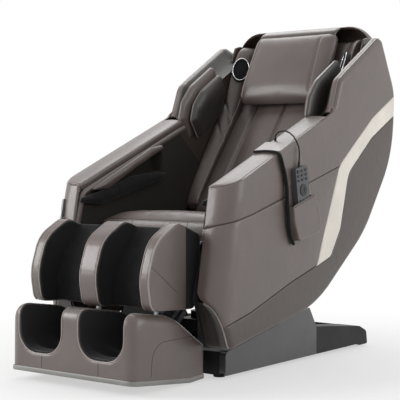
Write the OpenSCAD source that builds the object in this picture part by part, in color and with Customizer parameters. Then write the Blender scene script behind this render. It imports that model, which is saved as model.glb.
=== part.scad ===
// Full-body massage chair: a one-piece padded capsule that tilts on a low steel base,
// with a lifting calf unit, an extending foot unit and a massage carriage on rails.
// Millimetres, +Z up, the sitter faces -Y and +X is at the sitter's left.

/* [Whole chair] */
// Width over the two side shells
shell_width = 750; // [740:1:790]
// Width between the two arms
arm_gap = 550; // [546:1:560]
// Height of the recline pivot above the floor
recline_pivot_z = 330; // [320:1:340]
// Distance of the recline pivot behind the middle of the base
recline_pivot_y = -50; // [-60:1:-40]
// Lean of the back from the vertical
back_lean = 37.8; // [36:0.2:39]

/* [Side shells] */
// Thickness of the moulded shell wall
shell_wall = 8; // [5:1:9]
// Width of the bay between an arm's inner face and the shell's rim
arm_bay = 34; // [30:1:36]
// Plan radius of the shell's front corner
front_corner_r = 68; // [55:1:75]
// Lean of the shell's front edge from the vertical
front_lean = 10.7; // [9:0.1:12]
// Gap at the joints between the shell's mouldings
shell_gap = 0.6; // [0.3:0.1:1.5]
// Thickness of the padded arm top
arm_pad_h = 22; // [18:1:26]

/* [Cushions] */
// Thickness of the seat cushion at its sides
seat_pad_h = 74; // [60:1:80]
// Gap at each side of the seat cushion
seat_pad_gap = 7; // [4:0.5:12]
// Thickness of the back cushion at its sides
back_pad_h = 40; // [34:1:44]
// Width of the back cushion
back_pad_w = 440; // [420:1:444]
// Crown of the seat and back cushions
pad_crown = 12; // [6:1:16]
// Width of the head pillow
pillow_w = 400; // [340:1:404]
// Length of the head pillow
pillow_l = 306; // [280:1:320]
// Thickness of the head pillow
pillow_h = 74; // [50:1:80]

/* [Calf and foot units] */
// Gap at each side of the calf unit, to the arm's inner face
calf_gap = 25; // [21:1:32]
// Width of a calf ridge at the sides
calf_ridge_w = 36; // [32:1:40]
// Width of the calf ridge in the middle
calf_mid_w = 70; // [60:1:80]
// Depth of the calf wells
calf_well_d = 84; // [70:1:90]
// Gap at each side of the foot unit, to the arm's inner face
foot_gap = 15; // [10:1:22]
// Distance of each foot well from the middle
foot_well_x = 128; // [124:1:132]
// Width of a foot well
foot_well_w = 172; // [160:1:176]
// Tilt of the sole from the floor
sole_tilt = 6.3; // [5:0.1:7]
// Wall of the calf and foot casings
casing_wall = 8; // [5:1:9]

/* [Frame] */
// Thickness of the seat frame's side plates
plate_t = 10; // [6:1:10]
// Radius of the recline trunnions
trunnion_r = 12; // [10:0.5:14]
// Radius of the legrest trunnions
leg_pin_r = 8; // [7:0.5:10]
// Radial clearance of the pins and shafts that turn
run_gap = 0.06; // [0.03:0.01:0.1]
// Radius of the rods that carry the foot unit
slide_rod_r = 8; // [6:0.5:10]
// Radius of the massage rollers
roller_r = 27; // [24:1:28]

/* [Remote] */
// Length of the hand control
remote_l = 152; // [140:1:160]
// Width of the hand control
remote_w = 74; // [66:1:76]
// Thickness of the hand control
remote_t = 20; // [16:1:20]
// Diameter of the hand control's lead
lead_d = 5; // [4:0.5:6]

/* [Hidden] */
$fn = 48;

touch = 0.3; // gap between soft or curved pieces that rest on each other
flush = 0.05; // gap between flat faces that rest on each other

half_w = shell_width / 2;
arm_in = arm_gap / 2;
shell_in = arm_in + arm_bay;
liner_t = 4;
cover_out = shell_in - 4;
seat_pad_w = arm_gap - 2 * seat_pad_gap;
calf_w = arm_gap - 2 * calf_gap;
foot_w = arm_gap - 2 * foot_gap;
plate_in = arm_in - 23; // inner face of the seat frame's side plates

// ---------- outlines ----------

function unit(v) = v / norm(v);
function total(v) = v * [for (i = v) 1];

// points of the arc that rounds corner b of the path a-b-c with radius r
function corner(a, b, c, r, n) =
    let(u = unit(a - b), v = unit(c - b), half = acos(max(-1, min(1, u * v))) / 2)
    r == 0 || half > 89.5 ? [b] :
    let(o = b + unit(u + v) * r / sin(half), s = b + u * r / tan(half) - o, e = b + v * r / tan(half) - o,
        w = 180 - 2 * half)
    [for (i = [0 : n]) o + (s * sin((1 - i / n) * w) + e * sin(i / n * w)) / sin(w)];

function flat(v) = [v[0], v[1]];

// closed outline: each point is [a, b, corner radius]
function rounded(p, n = 4) =
    let(c = len(p))
    [for (i = [0 : c - 1]) each corner(flat(p[(i + c - 1) % c]), flat(p[i]), flat(p[(i + 1) % c]), p[i][2], n)];

// open path: the ends stay, the points between them are rounded
function rounded_path(p, n = 4) =
    let(c = len(p))
    [flat(p[0]), for (i = [1 : c - 2]) each corner(flat(p[i - 1]), flat(p[i]), flat(p[i + 1]), p[i][2], n),
        flat(p[c - 1])];

function area(p) = total([for (i = [0 : len(p) - 1]) cross(p[i], p[(i + 1) % len(p)])]) / 2;

// closed outline moved inwards by d, each corner along its mitre
function inset(p, d) =
    let(c = len(p), s = area(p) > 0 ? 1 : -1)
    [for (i = [0 : c - 1])
        let(e = unit(p[i] - p[(i + c - 1) % c]), f = unit(p[(i + 1) % c] - p[i]),
            n = s * [-e[1], e[0]], m = s * [-f[1], f[0]])
        p[i] + (n + m) * d / (1 + n * m)];

// closed outline of [a, b, corner radius] points, moved inwards by d before its corners are rounded
function line(p, d = 0, n = 4) =
    let(q = d == 0 ? [for (v = p) flat(v)] : inset([for (v = p) flat(v)], d))
    rounded([for (i = [0 : len(p) - 1]) [q[i][0], q[i][1], max(min(2, p[i][2]), p[i][2] - d)]], n);

// ---------- placing ----------

// side outline: [y, z] points, from x0 to x1
module side_plate(p, x0, x1) translate([x0, 0, 0]) rotate([90, 0, 90]) linear_extrude(x1 - x0) polygon(p);
module block(lo, hi) translate(lo) cube(hi - lo);
module mirrored(side) mirror([side < 0 ? 1 : 0, 0, 0]) children();
module both_sides() { children(); mirror([1, 0, 0]) children(); }
// cylinder along X
module rod_x(y, z, r, x0, x1) translate([x0, y, z]) rotate([0, 90, 0]) cylinder(r = r, h = x1 - x0);
module rod_between(a, b, r) {
    d = b - a;
    translate(a) rotate([0, acos(d[2] / norm(d)), atan2(d[1], d[0])]) cylinder(r = r, h = norm(d));
}

// plate with chamfered ends in the side view, from past a to past b
module clevis(a, b, w, x0, x1) {
    u = unit(b - a);
    n = [-u[1], u[0]];
    side_plate([a - u * w * 0.6 + n * w * 0.3, a - u * w * 0.2 + n * w * 0.54, b + u * w * 0.2 + n * w / 2, b + u * w / 2 + n * w * 0.25,
        b + u * w / 2 - n * w * 0.25, b + u * w * 0.2 - n * w / 2, a - u * w * 0.2 - n * w * 0.54, a - u * w * 0.6 - n * w * 0.3], x0, x1);
}

// ---------- triangulated soft forms ----------

// the faces are turned round where they would point inwards
function outward(p, f) =
    total([for (t = f) cross(p[t[0]], p[t[1]]) * p[t[2]]]) > 0 ? [for (t = f) [t[2], t[1], t[0]]] : f;
function quad(a, b, c, d) = [[a, b, c], [a, c, d]];

// closed solid between two grids of points
module skins(front, back) {
    m = len(front) - 1;
    n = len(front[0]) - 1;
    p = [for (g = [front, back], row = g) each row];
    function id(i, j, k) = (k * (m + 1) + i) * (n + 1) + j;
    f = [for (i = [0 : m - 1], j = [0 : n - 1]) each concat(
            quad(id(i, j, 0), id(i + 1, j, 0), id(i + 1, j + 1, 0), id(i, j + 1, 0)),
            quad(id(i, j, 1), id(i, j + 1, 1), id(i + 1, j + 1, 1), id(i + 1, j, 1))),
        for (i = [0 : m - 1]) each concat(
            quad(id(i + 1, 0, 0), id(i, 0, 0), id(i, 0, 1), id(i + 1, 0, 1)),
            quad(id(i, n, 0), id(i + 1, n, 0), id(i + 1, n, 1), id(i, n, 1))),
        for (j = [0 : n - 1]) each concat(
            quad(id(0, j, 0), id(0, j + 1, 0), id(0, j + 1, 1), id(0, j, 1)),
            quad(id(m, j + 1, 0), id(m, j, 0), id(m, j, 1), id(m, j + 1, 1)))];
    polyhedron(p, outward(p, f));
}

// closed solid through rings of points, each end drawn to its middle
module rings(r) {
    n = len(r[0]);
    k = len(r);
    mid_of = function(q) [for (a = [0 : 2]) total([for (v = q) v[a]]) / n];
    p = [for (q = r) each q, mid_of(r[0]), mid_of(r[k - 1])];
    f = [for (i = [0 : k - 2], j = [0 : n - 1]) each
            quad(i * n + j, i * n + (j + 1) % n, (i + 1) * n + (j + 1) % n, (i + 1) * n + j),
        for (j = [0 : n - 1]) [n * k, (j + 1) % n, j],
        for (j = [0 : n - 1]) [n * k + 1, (k - 1) * n + j, (k - 1) * n + (j + 1) % n]];
    polyhedron(p, outward(p, f));
}

function swell(a) = sin(a) * (0.86 + 0.14 * cos(a));
// cushion over a flat outline: fullness 1 is a thick lens, smaller values stay flat in the middle
module puff(outline, thickness, fullness = 0.6) {
    n = len(outline);
    c = [total([for (v = outline) v[0]]) / n, total([for (v = outline) v[1]]) / n];
    rings([for (a = [-66, -36, -12, 12, 36, 66])
        [for (v = outline)
            let(q = c + (v - c) * (1 - fullness * (1 - cos(a))))
            [q[0], q[1], thickness / 2 * swell(a) / swell(66)]]]);
}

// ---------- side outlines of the capsule ----------

arm_front = [-361, 622];
arm_rear = [245, 875];
arm_angle = atan2(arm_rear[1] - arm_front[1], arm_rear[0] - arm_front[0]);
function arm_z(y) = arm_front[1] + (y - arm_front[0]) * tan(arm_angle);
arm_drop = arm_pad_h / cos(arm_angle);
function front_y(z) = arm_front[0] - (arm_front[1] - z) * tan(front_lean);
shell_low_z = 108;
shell_chin = [-432, 262];

shell_points = [
    [arm_front[0], arm_front[1] - arm_drop, 12], [shell_chin[0], shell_chin[1], 30], [-366, shell_low_z, 24],
    [150, 205, 500], [480, 440, 500], [690, 720, 400], [712, 960, 180], [597, 1172, 26],
    [350, 1024, 90], [300, 992, 55], [arm_rear[0], arm_rear[1] - arm_drop, 60]];
shell_outline = line(shell_points);

stripe_upper = rounded_path([[820, 1012, 0], [531, 861, 0], [296, 688, 90], [146, 345, 0]], 5);
stripe_lower = rounded_path([[820, 938, 0], [525, 789, 60], [356, 660, 90], [300, 462, 60], [234, 366, 40], [138, 337, 0]], 4);
stripe_tip = [-470, 168];

// everything in front of and above the stripe, everything behind and below it, and the stripe
front_zone = concat(stripe_upper, [stripe_tip + [0, 6], [-700, 168], [-700, 1500], [820, 1500]]);
rear_zone = concat(stripe_lower, [stripe_tip, [-700, 160], [-700, -200], [1100, -200], [1100, 938]]);
stripe_zone = concat(stripe_upper, [for (i = [len(stripe_lower) - 1 : -1 : 0]) stripe_lower[i]]);

// block with the shell's leaning, rounded front corner, its faces inside the shell's faces by back_off
module front_corner_block(back_off) {
    e = back_off - 1.5;
    translate([0, front_y(0), 0]) rotate([-front_lean, 0, 0]) translate([0, 0, -250]) linear_extrude(1900)
        polygon(rounded([[shell_in - 40, e, 0], [half_w - e, e, front_corner_r - e], [half_w - e, 1800, 0],
            [shell_in - 40, 1800, 0]], 6));
}

// the side shell's full moulding: a tray with its face outwards and an edge that steps round
module shell_tray() {
    difference() {
        intersection() {
            union() {
                side_plate(shell_outline, shell_in, half_w - 16);
                side_plate(line(shell_points, 2), half_w - 17, half_w - 8);
                side_plate(line(shell_points, 5), half_w - 9, half_w - 3);
                side_plate(line(shell_points, 9), half_w - 4, half_w);
            }
            front_corner_block(0);
        }
        intersection() {
            side_plate(line(shell_points, shell_wall + 4), shell_in - 20, half_w - shell_wall);
            front_corner_block(shell_wall);
        }
    }
}

// inward return of the front edge, between the arm's inner face and the tray
module front_return() {
    intersection() {
        difference() {
            side_plate(shell_outline, arm_in + liner_t + flush, shell_in + 1);
            side_plate(line(shell_points, shell_wall), arm_in, shell_in + 2);
        }
        block([arm_in, front_y(0), shell_low_z + 40], [half_w, front_y(0) + 118, arm_front[1]]);
        front_corner_block(0);
    }
}

module front_shell(side) color("#6b5d58") mid() mirrored(side) {
    intersection() {
        union() {
            shell_tray();
            front_return();
        }
        side_plate(front_zone, arm_in - 10, half_w + 1);
    }
}

module rear_shell(side) color("#4a403d") mid() mirrored(side)
    intersection() {
        union() {
            shell_tray();
            front_return();
        }
        translate([0, shell_gap, -shell_gap]) side_plate(rear_zone, arm_in - 10, half_w + 1);
    }

module side_stripe(side) color("#e9e0d4") mid() mirrored(side)
    intersection() {
        difference() {
            shell_tray();
            block([shell_in - 10, -800, 0], [half_w - shell_wall - 2, 900, 1400]);
        }
        side_plate(inset(stripe_zone, shell_gap / 2), shell_in, half_w + 1);
    }

// ---------- base ----------

base_front_y = -301;
base_rear_y = 620;
foot_h = 14;
rail_h = 40;
rail_out = plate_in + plate_t + 8;
rail_w = 40;
rail_rear_y = 560;
bracket_t = 8;
bracket_in = plate_in + plate_t + 6;
boss_r = 34;
bush_r = trunnion_r + 4;
cover_t = 6;
pivot = [recline_pivot_y, recline_pivot_z];
cover_points = [[base_front_y, 12, 4], [base_front_y, 88, 18], [205, 184, 8], [238, 132, 10],
    [252, 112, 8], [252, 12, 4]];
rear_foot_points = [[253, 12, 3], [253, 111, 6], [560, 79, 40], [612, 56, 18], [base_rear_y, 6, 6], [560, 6, 6],
    [548, 12, 4]];
tray_y = [78, 282];

module base_frame() color("#26262a") mid() {
    difference() {
        union() {
            both_sides() {
                block([rail_out - rail_w, base_front_y + cover_t, foot_h], [rail_out, rail_rear_y, foot_h + rail_h]);
                // pivot bracket: a plate and a boss
                side_plate([[pivot[0] - 140, foot_h + 20], [pivot[0] + 150, foot_h + 20], [pivot[0] + 32, pivot[1] + 10],
                    [pivot[0] - 32, pivot[1] + 10]], bracket_in, bracket_in + bracket_t);
                rod_x(pivot[0], pivot[1], boss_r, bracket_in, bracket_in + bracket_t);
            }
            for (y = [base_front_y + cover_t, actuator_foot[0] - 20, tray_y[0], tray_y[1] - 40, rail_rear_y - 40])
                block([-rail_out + 1, y, foot_h], [rail_out - 1, y + 40, foot_h + rail_h]);
            block([-rail_out + 1, tray_y[0], foot_h + rail_h - 4], [rail_out - 1, tray_y[1], foot_h + rail_h]);
            // clevis that carries the recline actuator
            for (s = [-1, 1])
                clevis([actuator_foot[0], foot_h + 24], actuator_foot, 34, actuator_x + s * 22 - 3, actuator_x + s * 22 + 3);
        }
        both_sides() rod_x(pivot[0], pivot[1], bush_r, bracket_in - 5, bracket_in + bracket_t + 5);
        rod_x(actuator_foot[0], actuator_foot[1], actuator_pin_r + run_gap, actuator_x - 40, actuator_x + 40);
    }
}

module pivot_bushes() color("#b9b3a0") mid() both_sides() difference() {
    rod_x(pivot[0], pivot[1], bush_r - flush, bracket_in - 1, bracket_in + bracket_t + 1);
    rod_x(pivot[0], pivot[1], trunnion_r + run_gap, bracket_in - 5, bracket_in + bracket_t + 5);
}

module base_cover(side) color("#5c5c60") mid() mirrored(side) {
    difference() {
        side_plate(line(cover_points), bracket_in + bracket_t + 3, cover_out);
        side_plate(line(cover_points, cover_t), 0, cover_out - cover_t);
        block([0, base_front_y - 1, 0], [cover_out - cover_t, 300, 20]);
    }
    for (y = [base_front_y + 60, 150])
        block([rail_out + flush, y, foot_h + 4], [cover_out - 1, y + 4, foot_h + rail_h]);
}

module base_front_cover() color("#1d1d1f") mid() {
    w = bracket_in + bracket_t + 2;
    difference() {
        block([-w, base_front_y, 12], [w, base_front_y + 48, 88]);
        block([-w - 1, base_front_y + cover_t - flush, 0], [w + 1, base_front_y + 49, 82]);
    }
}

module rear_foot_cover() color("#1b1b1d") mid() {
    inner_x = rail_out - rail_w - 16;
    roof = line(rear_foot_points, 5);
    difference() {
        side_plate(line(rear_foot_points), -cover_out, cover_out);
        // hollow over the rails
        both_sides() intersection() {
            side_plate(roof, inner_x + 5, cover_out - 5);
            block([0, 0, 0], [cover_out, rail_rear_y + 4, 200]);
        }
        both_sides() block([inner_x + 5, 200, -10], [cover_out - 5, rail_rear_y + 4, foot_h + rail_h]);
        block([-inner_x, 0, -10], [inner_x, rail_rear_y + 4, 300]);
        // room for the ends of the cross members
        block([-rail_out - 2, 200, -10], [rail_out + 2, tray_y[1] + 3, foot_h + rail_h + flush]);
        block([-rail_out - 2, rail_rear_y - 44, -10], [rail_out + 2, rail_rear_y + 3, foot_h + rail_h + flush]);
    }
    both_sides() for (y = [300, 500])
        block([rail_out - rail_w, y, foot_h + rail_h + flush], [rail_out, y + 4, 108 - (y - 253) * 0.104]);
}

module rubber_feet() color("#151515") mid() both_sides() for (y = [base_front_y + 40, 524])
    translate([rail_out - rail_w / 2, y, 0]) cylinder(r1 = 19, r2 = 21, h = foot_h - flush);

box_y = [rail_rear_y - 96, rail_rear_y - 6];
switch_x = 20;
switch_axis = [box_y[1] - 7, 84];
module power_box() color("#2a2a2d") mid() {
    difference() {
        block([-86, box_y[0], foot_h + rail_h + flush], [86, box_y[1], 118]);
        // mains inlet, switch well and fuse drawer
        block([-70, box_y[1] - 24, 70], [-36, box_y[1] + 1, 96]);
        block([switch_x - 10.6, box_y[1] - 14, 66], [switch_x + 10.6, box_y[1] + 1, 102]);
        block([52, box_y[1] - 1, 74], [70, box_y[1] + 1, 92]);
    }
    rod_x(switch_axis[0], switch_axis[1], 2, switch_x - 12, switch_x + 12);
}
module power_switch() color("#101010") mid() difference() {
    side_plate(line([[switch_axis[0] - 5, switch_axis[1] - 4, 1], [switch_axis[0] - 5, switch_axis[1] + 4, 1],
        [switch_axis[0] + 5, switch_axis[1] + 15, 1.5], [switch_axis[0] + 6.5, switch_axis[1], 6],
        [switch_axis[0] + 9, switch_axis[1] - 15, 1.5]]), switch_x - 10, switch_x + 10);
    rod_x(switch_axis[0], switch_axis[1], 2 + run_gap, switch_x - 12, switch_x + 12);
}

module air_pump() color("#3a3a3e") mid() {
    z = foot_h + rail_h + flush;
    x = rail_out - rail_w - 16;
    block([-x, tray_y[0] + 26, z], [96 - x, tray_y[1] - 26, z + 62]);
    translate([48 - x, 180, z + 61]) cylinder(r = 34, h = 26);
    for (dx = [18, 78]) translate([dx - x, tray_y[1] - 26, z + 30]) rotate([-90, 0, 0]) cylinder(r = 6, h = 16);
}

module control_box() color("#8f9296") mid() {
    z = foot_h + rail_h + flush;
    x = rail_out - rail_w - 16;
    block([x - 110, tray_y[0] + 22, z], [x, tray_y[1] - 20, z + 44]);
    for (y = [124, 150, 176, 202]) block([x - 116, y, z + 10], [x - 109, y + 14, z + 24]);
}

// ---------- recline actuator ----------

actuator_x = -70;
actuator_foot = [-230, 75];
actuator_head = [160, 385];
actuator_pin_r = 6;
recline_slack = 2.6; // the head's eye is this much larger than its pin all round
actuator_dir = unit(actuator_head - actuator_foot);
actuator_angle = atan2(actuator_dir[1], actuator_dir[0]);
actuator_len = norm(actuator_head - actuator_foot);
tube_len = 300;

module along(origin, angle, x) translate([x, origin[0], origin[1]]) rotate([angle, 0, 0]) children();

module recline_actuator_tube() color("#4d4f54") mid() along(actuator_foot, actuator_angle, actuator_x) {
    difference() {
        union() {
            translate([0, 32, 0]) rotate([-90, 0, 0]) cylinder(r = 22, h = tube_len - 32);
            translate([0, 8, 0]) rotate([-90, 0, 0]) cylinder(r = 13, h = 30);
            rotate([0, 90, 0]) translate([0, 0, -18]) cylinder(r = 15, h = 36);
            // gear motor under the tube
            translate([0, 70, -30]) rotate([-90, 0, 0]) cylinder(r = 24, h = 120);
        }
        rotate([-90, 0, 0]) translate([0, 0, 40]) cylinder(r = 11 + run_gap, h = tube_len);
        rotate([0, 90, 0]) translate([0, 0, -30]) cylinder(r = actuator_pin_r + run_gap, h = 60);
    }
    rotate([0, 90, 0]) translate([0, 0, -27]) cylinder(r = actuator_pin_r, h = 54);
}

module recline_actuator_rod() color("#c9ccd0") mid() along(actuator_foot, actuator_angle, actuator_x) difference() {
    union() {
        translate([0, 110, 0]) rotate([-90, 0, 0]) cylinder(r = 11, h = actuator_len - 110 - actuator_pin_r - recline_slack - 2);
        translate([0, actuator_len, 0]) rotate([0, 90, 0]) translate([0, 0, -9])
            cylinder(r = actuator_pin_r + recline_slack + 7, h = 18);
    }
    translate([0, actuator_len, 0]) rotate([0, 90, 0]) translate([0, 0, -20])
        cylinder(r = actuator_pin_r + recline_slack, h = 40);
}

// ---------- seat frame ----------

leg_pivot = [-330, 430];
frame_heel = [250, 372];
seat_slope = atan2(leg_pivot[1] - frame_heel[1], frame_heel[0] - leg_pivot[0]);
seat_bar_w = 50;
function frame_top_z(y) = leg_pivot[1] - (y - leg_pivot[0]) * tan(seat_slope) + seat_bar_w / 2 / cos(seat_slope);
seat_top_front = [-263, 535];
// lower end of the back cushion's face
back_foot = [205, 511];
back_dir = [sin(back_lean), cos(back_lean)];
back_normal = [-cos(back_lean), sin(back_lean)];
// place at height s along the back's face and depth d behind it
function back_at(s, d) = back_foot + back_dir * s - back_normal * d;
back_bar_w = 44;
back_bar_depth = back_pad_h + back_bar_w / 2 + touch;
head_knee = back_at(514, 0);
head_top = [660, 1200];
head_dir = unit(head_top - head_knee);
head_normal = [-head_dir[1], head_dir[0]];
// where the faces at depth d behind the back and the head meet
function knee_at(d) = head_knee - (back_normal + head_normal) / (1 + back_normal * head_normal) * d;
function head_at(s, d) = head_knee + head_dir * s - head_normal * d;
legrest_foot = [-40, 360];
legrest_cross = [6, 372];
legrest_x = 70;
cross_r = 12;
frame_back_low = back_at(-20, back_bar_depth);
frame_back_top = head_at(190, back_bar_depth);
front_cross = [-250, 435];
front_cross_r = 10;
rear_cross = [210, 352];
cross_low = 40;
cross_high = 500;

track_depth = 112; // depth of the massage rails' middle behind the back's face
rail_half = 14;
cross_depth = track_depth + rail_half + cross_r + flush;
frame_d = back_pad_h + touch; // depth of the side plates' front edge behind the back's face
// outline of a side plate: seat bar, back bar with its lugs, heel and pivot lobe
plate_points = [[leg_pivot[0] - 26, frame_top_z(leg_pivot[0] - 26), 24], [back_at(-96, frame_d)[0], frame_top_z(back_at(-96, frame_d)[0]), 16],
    concat(knee_at(frame_d), 60), concat(head_at(196, frame_d), 8), concat(head_at(196, frame_d + 40), 16),
    concat(back_at(540, frame_d + back_bar_w), 40), concat(back_at(524, cross_depth + 16), 14),
    concat(back_at(476, cross_depth + 16), 14), concat(back_at(456, frame_d + back_bar_w), 30),
    concat(back_at(80, frame_d + back_bar_w), 30), concat(back_at(62, cross_depth + 16), 14),
    concat(back_at(16, cross_depth + 16), 20), [rear_cross[0] + 10, rear_cross[1] - 20, 16],
    [rear_cross[0] - 20, rear_cross[1] - 20, 16], [pivot[0] + 60, seat_low_z(pivot[0] + 60), 30],
    [pivot[0] + boss_r, pivot[1] - 4, 10], [pivot[0] + 20, pivot[1] - boss_r, 14], [pivot[0] - 20, pivot[1] - boss_r, 14],
    [pivot[0] - boss_r, pivot[1] - 4, 10], [pivot[0] - 60, seat_low_z(pivot[0] - 60), 30],
    [leg_pivot[0] - 26, seat_low_z(leg_pivot[0] - 26), 24]];
function seat_low_z(y) = frame_top_z(y) - seat_bar_w;

module seat_frame() color("#2b2b2f") mid() {
    x0 = plate_in;
    x1 = plate_in + plate_t;
    difference() {
        union() {
            both_sides() {
                side_plate(line(plate_points), x0, x1);
                // welded trunnion
                rod_x(pivot[0], pivot[1], trunnion_r, x0 + 3, bracket_in + bracket_t + 6);
                // outriggers that carry the side shells
                for (p = [[-190, 418], [330, 540], head_at(60, 60)])
                    rod_x(p[0], p[1], 13, x0 + 4, half_w - shell_wall - flush);
            }
            rod_x(front_cross[0], front_cross[1], front_cross_r, -x0 - 3, x0 + 3);
            for (p = [rear_cross, back_at(cross_low, cross_depth), back_at(cross_high, cross_depth)])
                rod_x(p[0], p[1], cross_r, -x0 - 3, x0 + 3);
            // slats under the two ends of the back cushion
            on_back(0, frame_d) translate([-x0 - 2, -14, -6.5]) cube([2 * x0 + 4, 28, 6]);
            on_head(170, frame_d) translate([-x0 - 2, -18, -6.5]) cube([2 * x0 + 4, 36, 6]);
            // head clevis of the recline actuator, hung from the rear cross tube
            for (s = [-1, 1]) clevis(rear_cross, actuator_head, 26, actuator_x + s * 15 - 3, actuator_x + s * 15 + 3);
            rod_x(actuator_head[0], actuator_head[1], actuator_pin_r, actuator_x - 20, actuator_x + 20);
            // rear clevis of the legrest actuator on its own cross tube
            rod_x(legrest_cross[0], legrest_cross[1], cross_r, -x0 - 3, x0 + 3);
            for (s = [-1, 1]) clevis(legrest_cross, legrest_foot, 26, legrest_x + s * 22 - 3, legrest_x + s * 22 + 3);
        }
        both_sides() rod_x(leg_pivot[0], leg_pivot[1], leg_pin_r + run_gap, x0 - 5, x1 + 5);
        rod_x(legrest_foot[0], legrest_foot[1], actuator_pin_r + run_gap, legrest_x - 40, legrest_x + 40);
    }
}

pan_t = 4;
module seat_pan() color("#3b3a3c") mid() {
    x = plate_in + plate_t;
    difference() {
        side_plate([for (q = [[seat_top_front[0] + 4, 0], [150, 0], [150, pan_t], [seat_top_front[0] + 4, pan_t]])
            [q[0], frame_top_z(q[0]) + q[1] + flush]], -x, x);
        block([-118, 10, 300], [118, 160, 600]);
    }
}

// frames on the back's face and on the head's face: y runs up, z runs out of the cushion
module on_back(s, d) {
    q = back_at(s, d);
    translate([0, q[0], q[1]]) rotate([90 - back_lean, 0, 0]) children();
}
module on_head(s, d) {
    q = head_at(s, d);
    translate([0, q[0], q[1]]) rotate([atan2(head_dir[1], head_dir[0]), 0, 0]) children();
}

// ---------- massage track and carriage ----------

bend_r = 120; // radius of the face's bend into the seat
rail_x = 134;
rail_face = 15;
rail_web = 3;
track_low = 30; // where the straight rail begins, along the back
track_high = 536;
track_centre = back_at(track_low, -bend_r);
track_r = bend_r + track_depth;
track_turn = 56;

// C-section of a rail, open towards the middle: [x, y] with y across the rail
rail_section = [[0, -rail_half], [rail_face, -rail_half], [rail_face, rail_half], [0, rail_half],
    [0, rail_half - rail_web], [rail_face - rail_web, rail_half - rail_web],
    [rail_face - rail_web, rail_web - rail_half], [0, rail_web - rail_half]];

module track_rails() color("#9a9da2") mid() both_sides() {
    on_back(track_low, track_depth) translate([rail_x, 0, 0]) rotate([-90, 0, 0])
        linear_extrude(track_high - track_low) polygon(rail_section);
    translate([0, track_centre[0], track_centre[1]]) rotate([0, 90, 0]) rotate([0, 0, 90 - back_lean - track_turn])
        rotate_extrude(angle = track_turn, $fn = 96)
            polygon([for (q = rail_section) [track_r + q[1], rail_x + q[0]]]);
}

carriage_s = 180; // rest place of the carriage's middle, along the back
carriage_half = 75;
carriage_x = 118;
wheel_y = 58;
arm_axis = [10, 22];
arm_axis_r = 8;
arm_x = 52;
arm_t = 8;
roller_y = [66, -48];
roller_z = 40;
roller_w = 24;
roller_x = arm_x + arm_t + 2;
axle_r = 6;

module in_carriage() on_back(carriage_s, track_depth) children();

module massage_carriage() color("#54565b") mid() in_carriage() {
    block([-carriage_x, -carriage_half + 5, -12], [carriage_x, carriage_half - 5, -8]);
    both_sides() {
        block([carriage_x - 1, -carriage_half, -12], [carriage_x + 7, carriage_half, 34]);
        for (y = [-wheel_y, wheel_y]) {
            rod_x(y, 0, 5, carriage_x + 6, rail_x + 4);
            rod_x(y, 0, rail_half - rail_web - 0.4, rail_x - 6, rail_x + rail_face - rail_web - 0.4);
        }
    }
    // motor and gearbox below and above the arm shaft
    block([-44, -62, -10], [44, -8, 32]);
    block([-44, 28, -10], [44, carriage_half - 7, 30]);
    rod_x(arm_axis[0], arm_axis[1], arm_axis_r, -carriage_x - 6, carriage_x + 6);
}

module massage_arm(side) color("#7c7f84") mid() mirrored(side) in_carriage() {
    difference() {
        union() {
            side_plate(rounded([[-60, 27, 9], [-58, 53, 10], [10, 43, 24], [76, 53, 10], [78, 27, 9], [30, 3, 12],
                [-10, 3, 12]]), arm_x, arm_x + arm_t);
            translate([arm_x + 2, arm_axis[0], arm_axis[1]]) rotate([0, 90, 0]) cylinder(r = 15, h = arm_t + 2);
        }
        translate([0, arm_axis[0], arm_axis[1]]) rotate([0, 90, 0]) cylinder(r = arm_axis_r + run_gap, h = 140);
    }
    for (y = roller_y) translate([arm_x + 1, y, roller_z]) rotate([0, 90, 0]) {
        cylinder(r = axle_r, h = arm_t + roller_w + 6);
        translate([0, 0, arm_t + roller_w + 3]) cylinder(r = axle_r + 3, h = 3);
    }
}

module massage_roller(side, k) color("#c8bfae") mid() mirrored(side) in_carriage()
    translate([roller_x, roller_y[k], roller_z]) rotate([0, 90, 0]) rotate_extrude($fn = 48)
        polygon(rounded([[axle_r + run_gap, 0, 0], [roller_r, 0, 8], [roller_r, roller_w - 0.5, 8],
            [axle_r + run_gap, roller_w - 0.5, 0]]));

// ---------- legrest actuator ----------

leg_crank = 55;
leg_crank_angle = 250;
leg_eye = leg_pivot + leg_crank * [cos(leg_crank_angle), sin(leg_crank_angle)];
leg_slack = 8.4; // the rod's eye is this much larger than its pin all round
leg_dir = unit(leg_eye - legrest_foot);
leg_angle = atan2(leg_dir[1], leg_dir[0]);
leg_len = norm(leg_eye - legrest_foot);

module legrest_actuator_tube() color("#4d4f54") mid() along(legrest_foot, leg_angle, legrest_x) {
    difference() {
        union() {
            rotate([-90, 0, 0]) cylinder(r = 19, h = 190);
            translate([-18, 0, 0]) rotate([0, 90, 0]) cylinder(r = 14, h = 36);
            translate([44, 40, 0]) rotate([-90, 0, 0]) cylinder(r = 21, h = 90);
            block([0, 46, -12], [44, 76, 12]);
        }
        translate([0, 40, 0]) rotate([-90, 0, 0]) cylinder(r = 9 + run_gap, h = 200);
        translate([-30, 0, 0]) rotate([0, 90, 0]) cylinder(r = actuator_pin_r + run_gap, h = 60);
    }
    translate([-27, 0, 0]) rotate([0, 90, 0]) cylinder(r = actuator_pin_r, h = 54);
}

module legrest_actuator_rod() color("#c9ccd0") mid() along(legrest_foot, leg_angle, legrest_x) {
    eye_r = actuator_pin_r + leg_slack;
    difference() {
        union() {
            translate([0, 100, 0]) rotate([-90, 0, 0]) cylinder(r = 9, h = leg_len - 100 - eye_r - 2);
            translate([-8, leg_len, 0]) rotate([0, 90, 0]) cylinder(r = eye_r + 6, h = 16);
        }
        translate([-20, leg_len, 0]) rotate([0, 90, 0]) cylinder(r = eye_r, h = 40);
    }
}

// ---------- back shell, top cap, arms ----------

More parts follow.
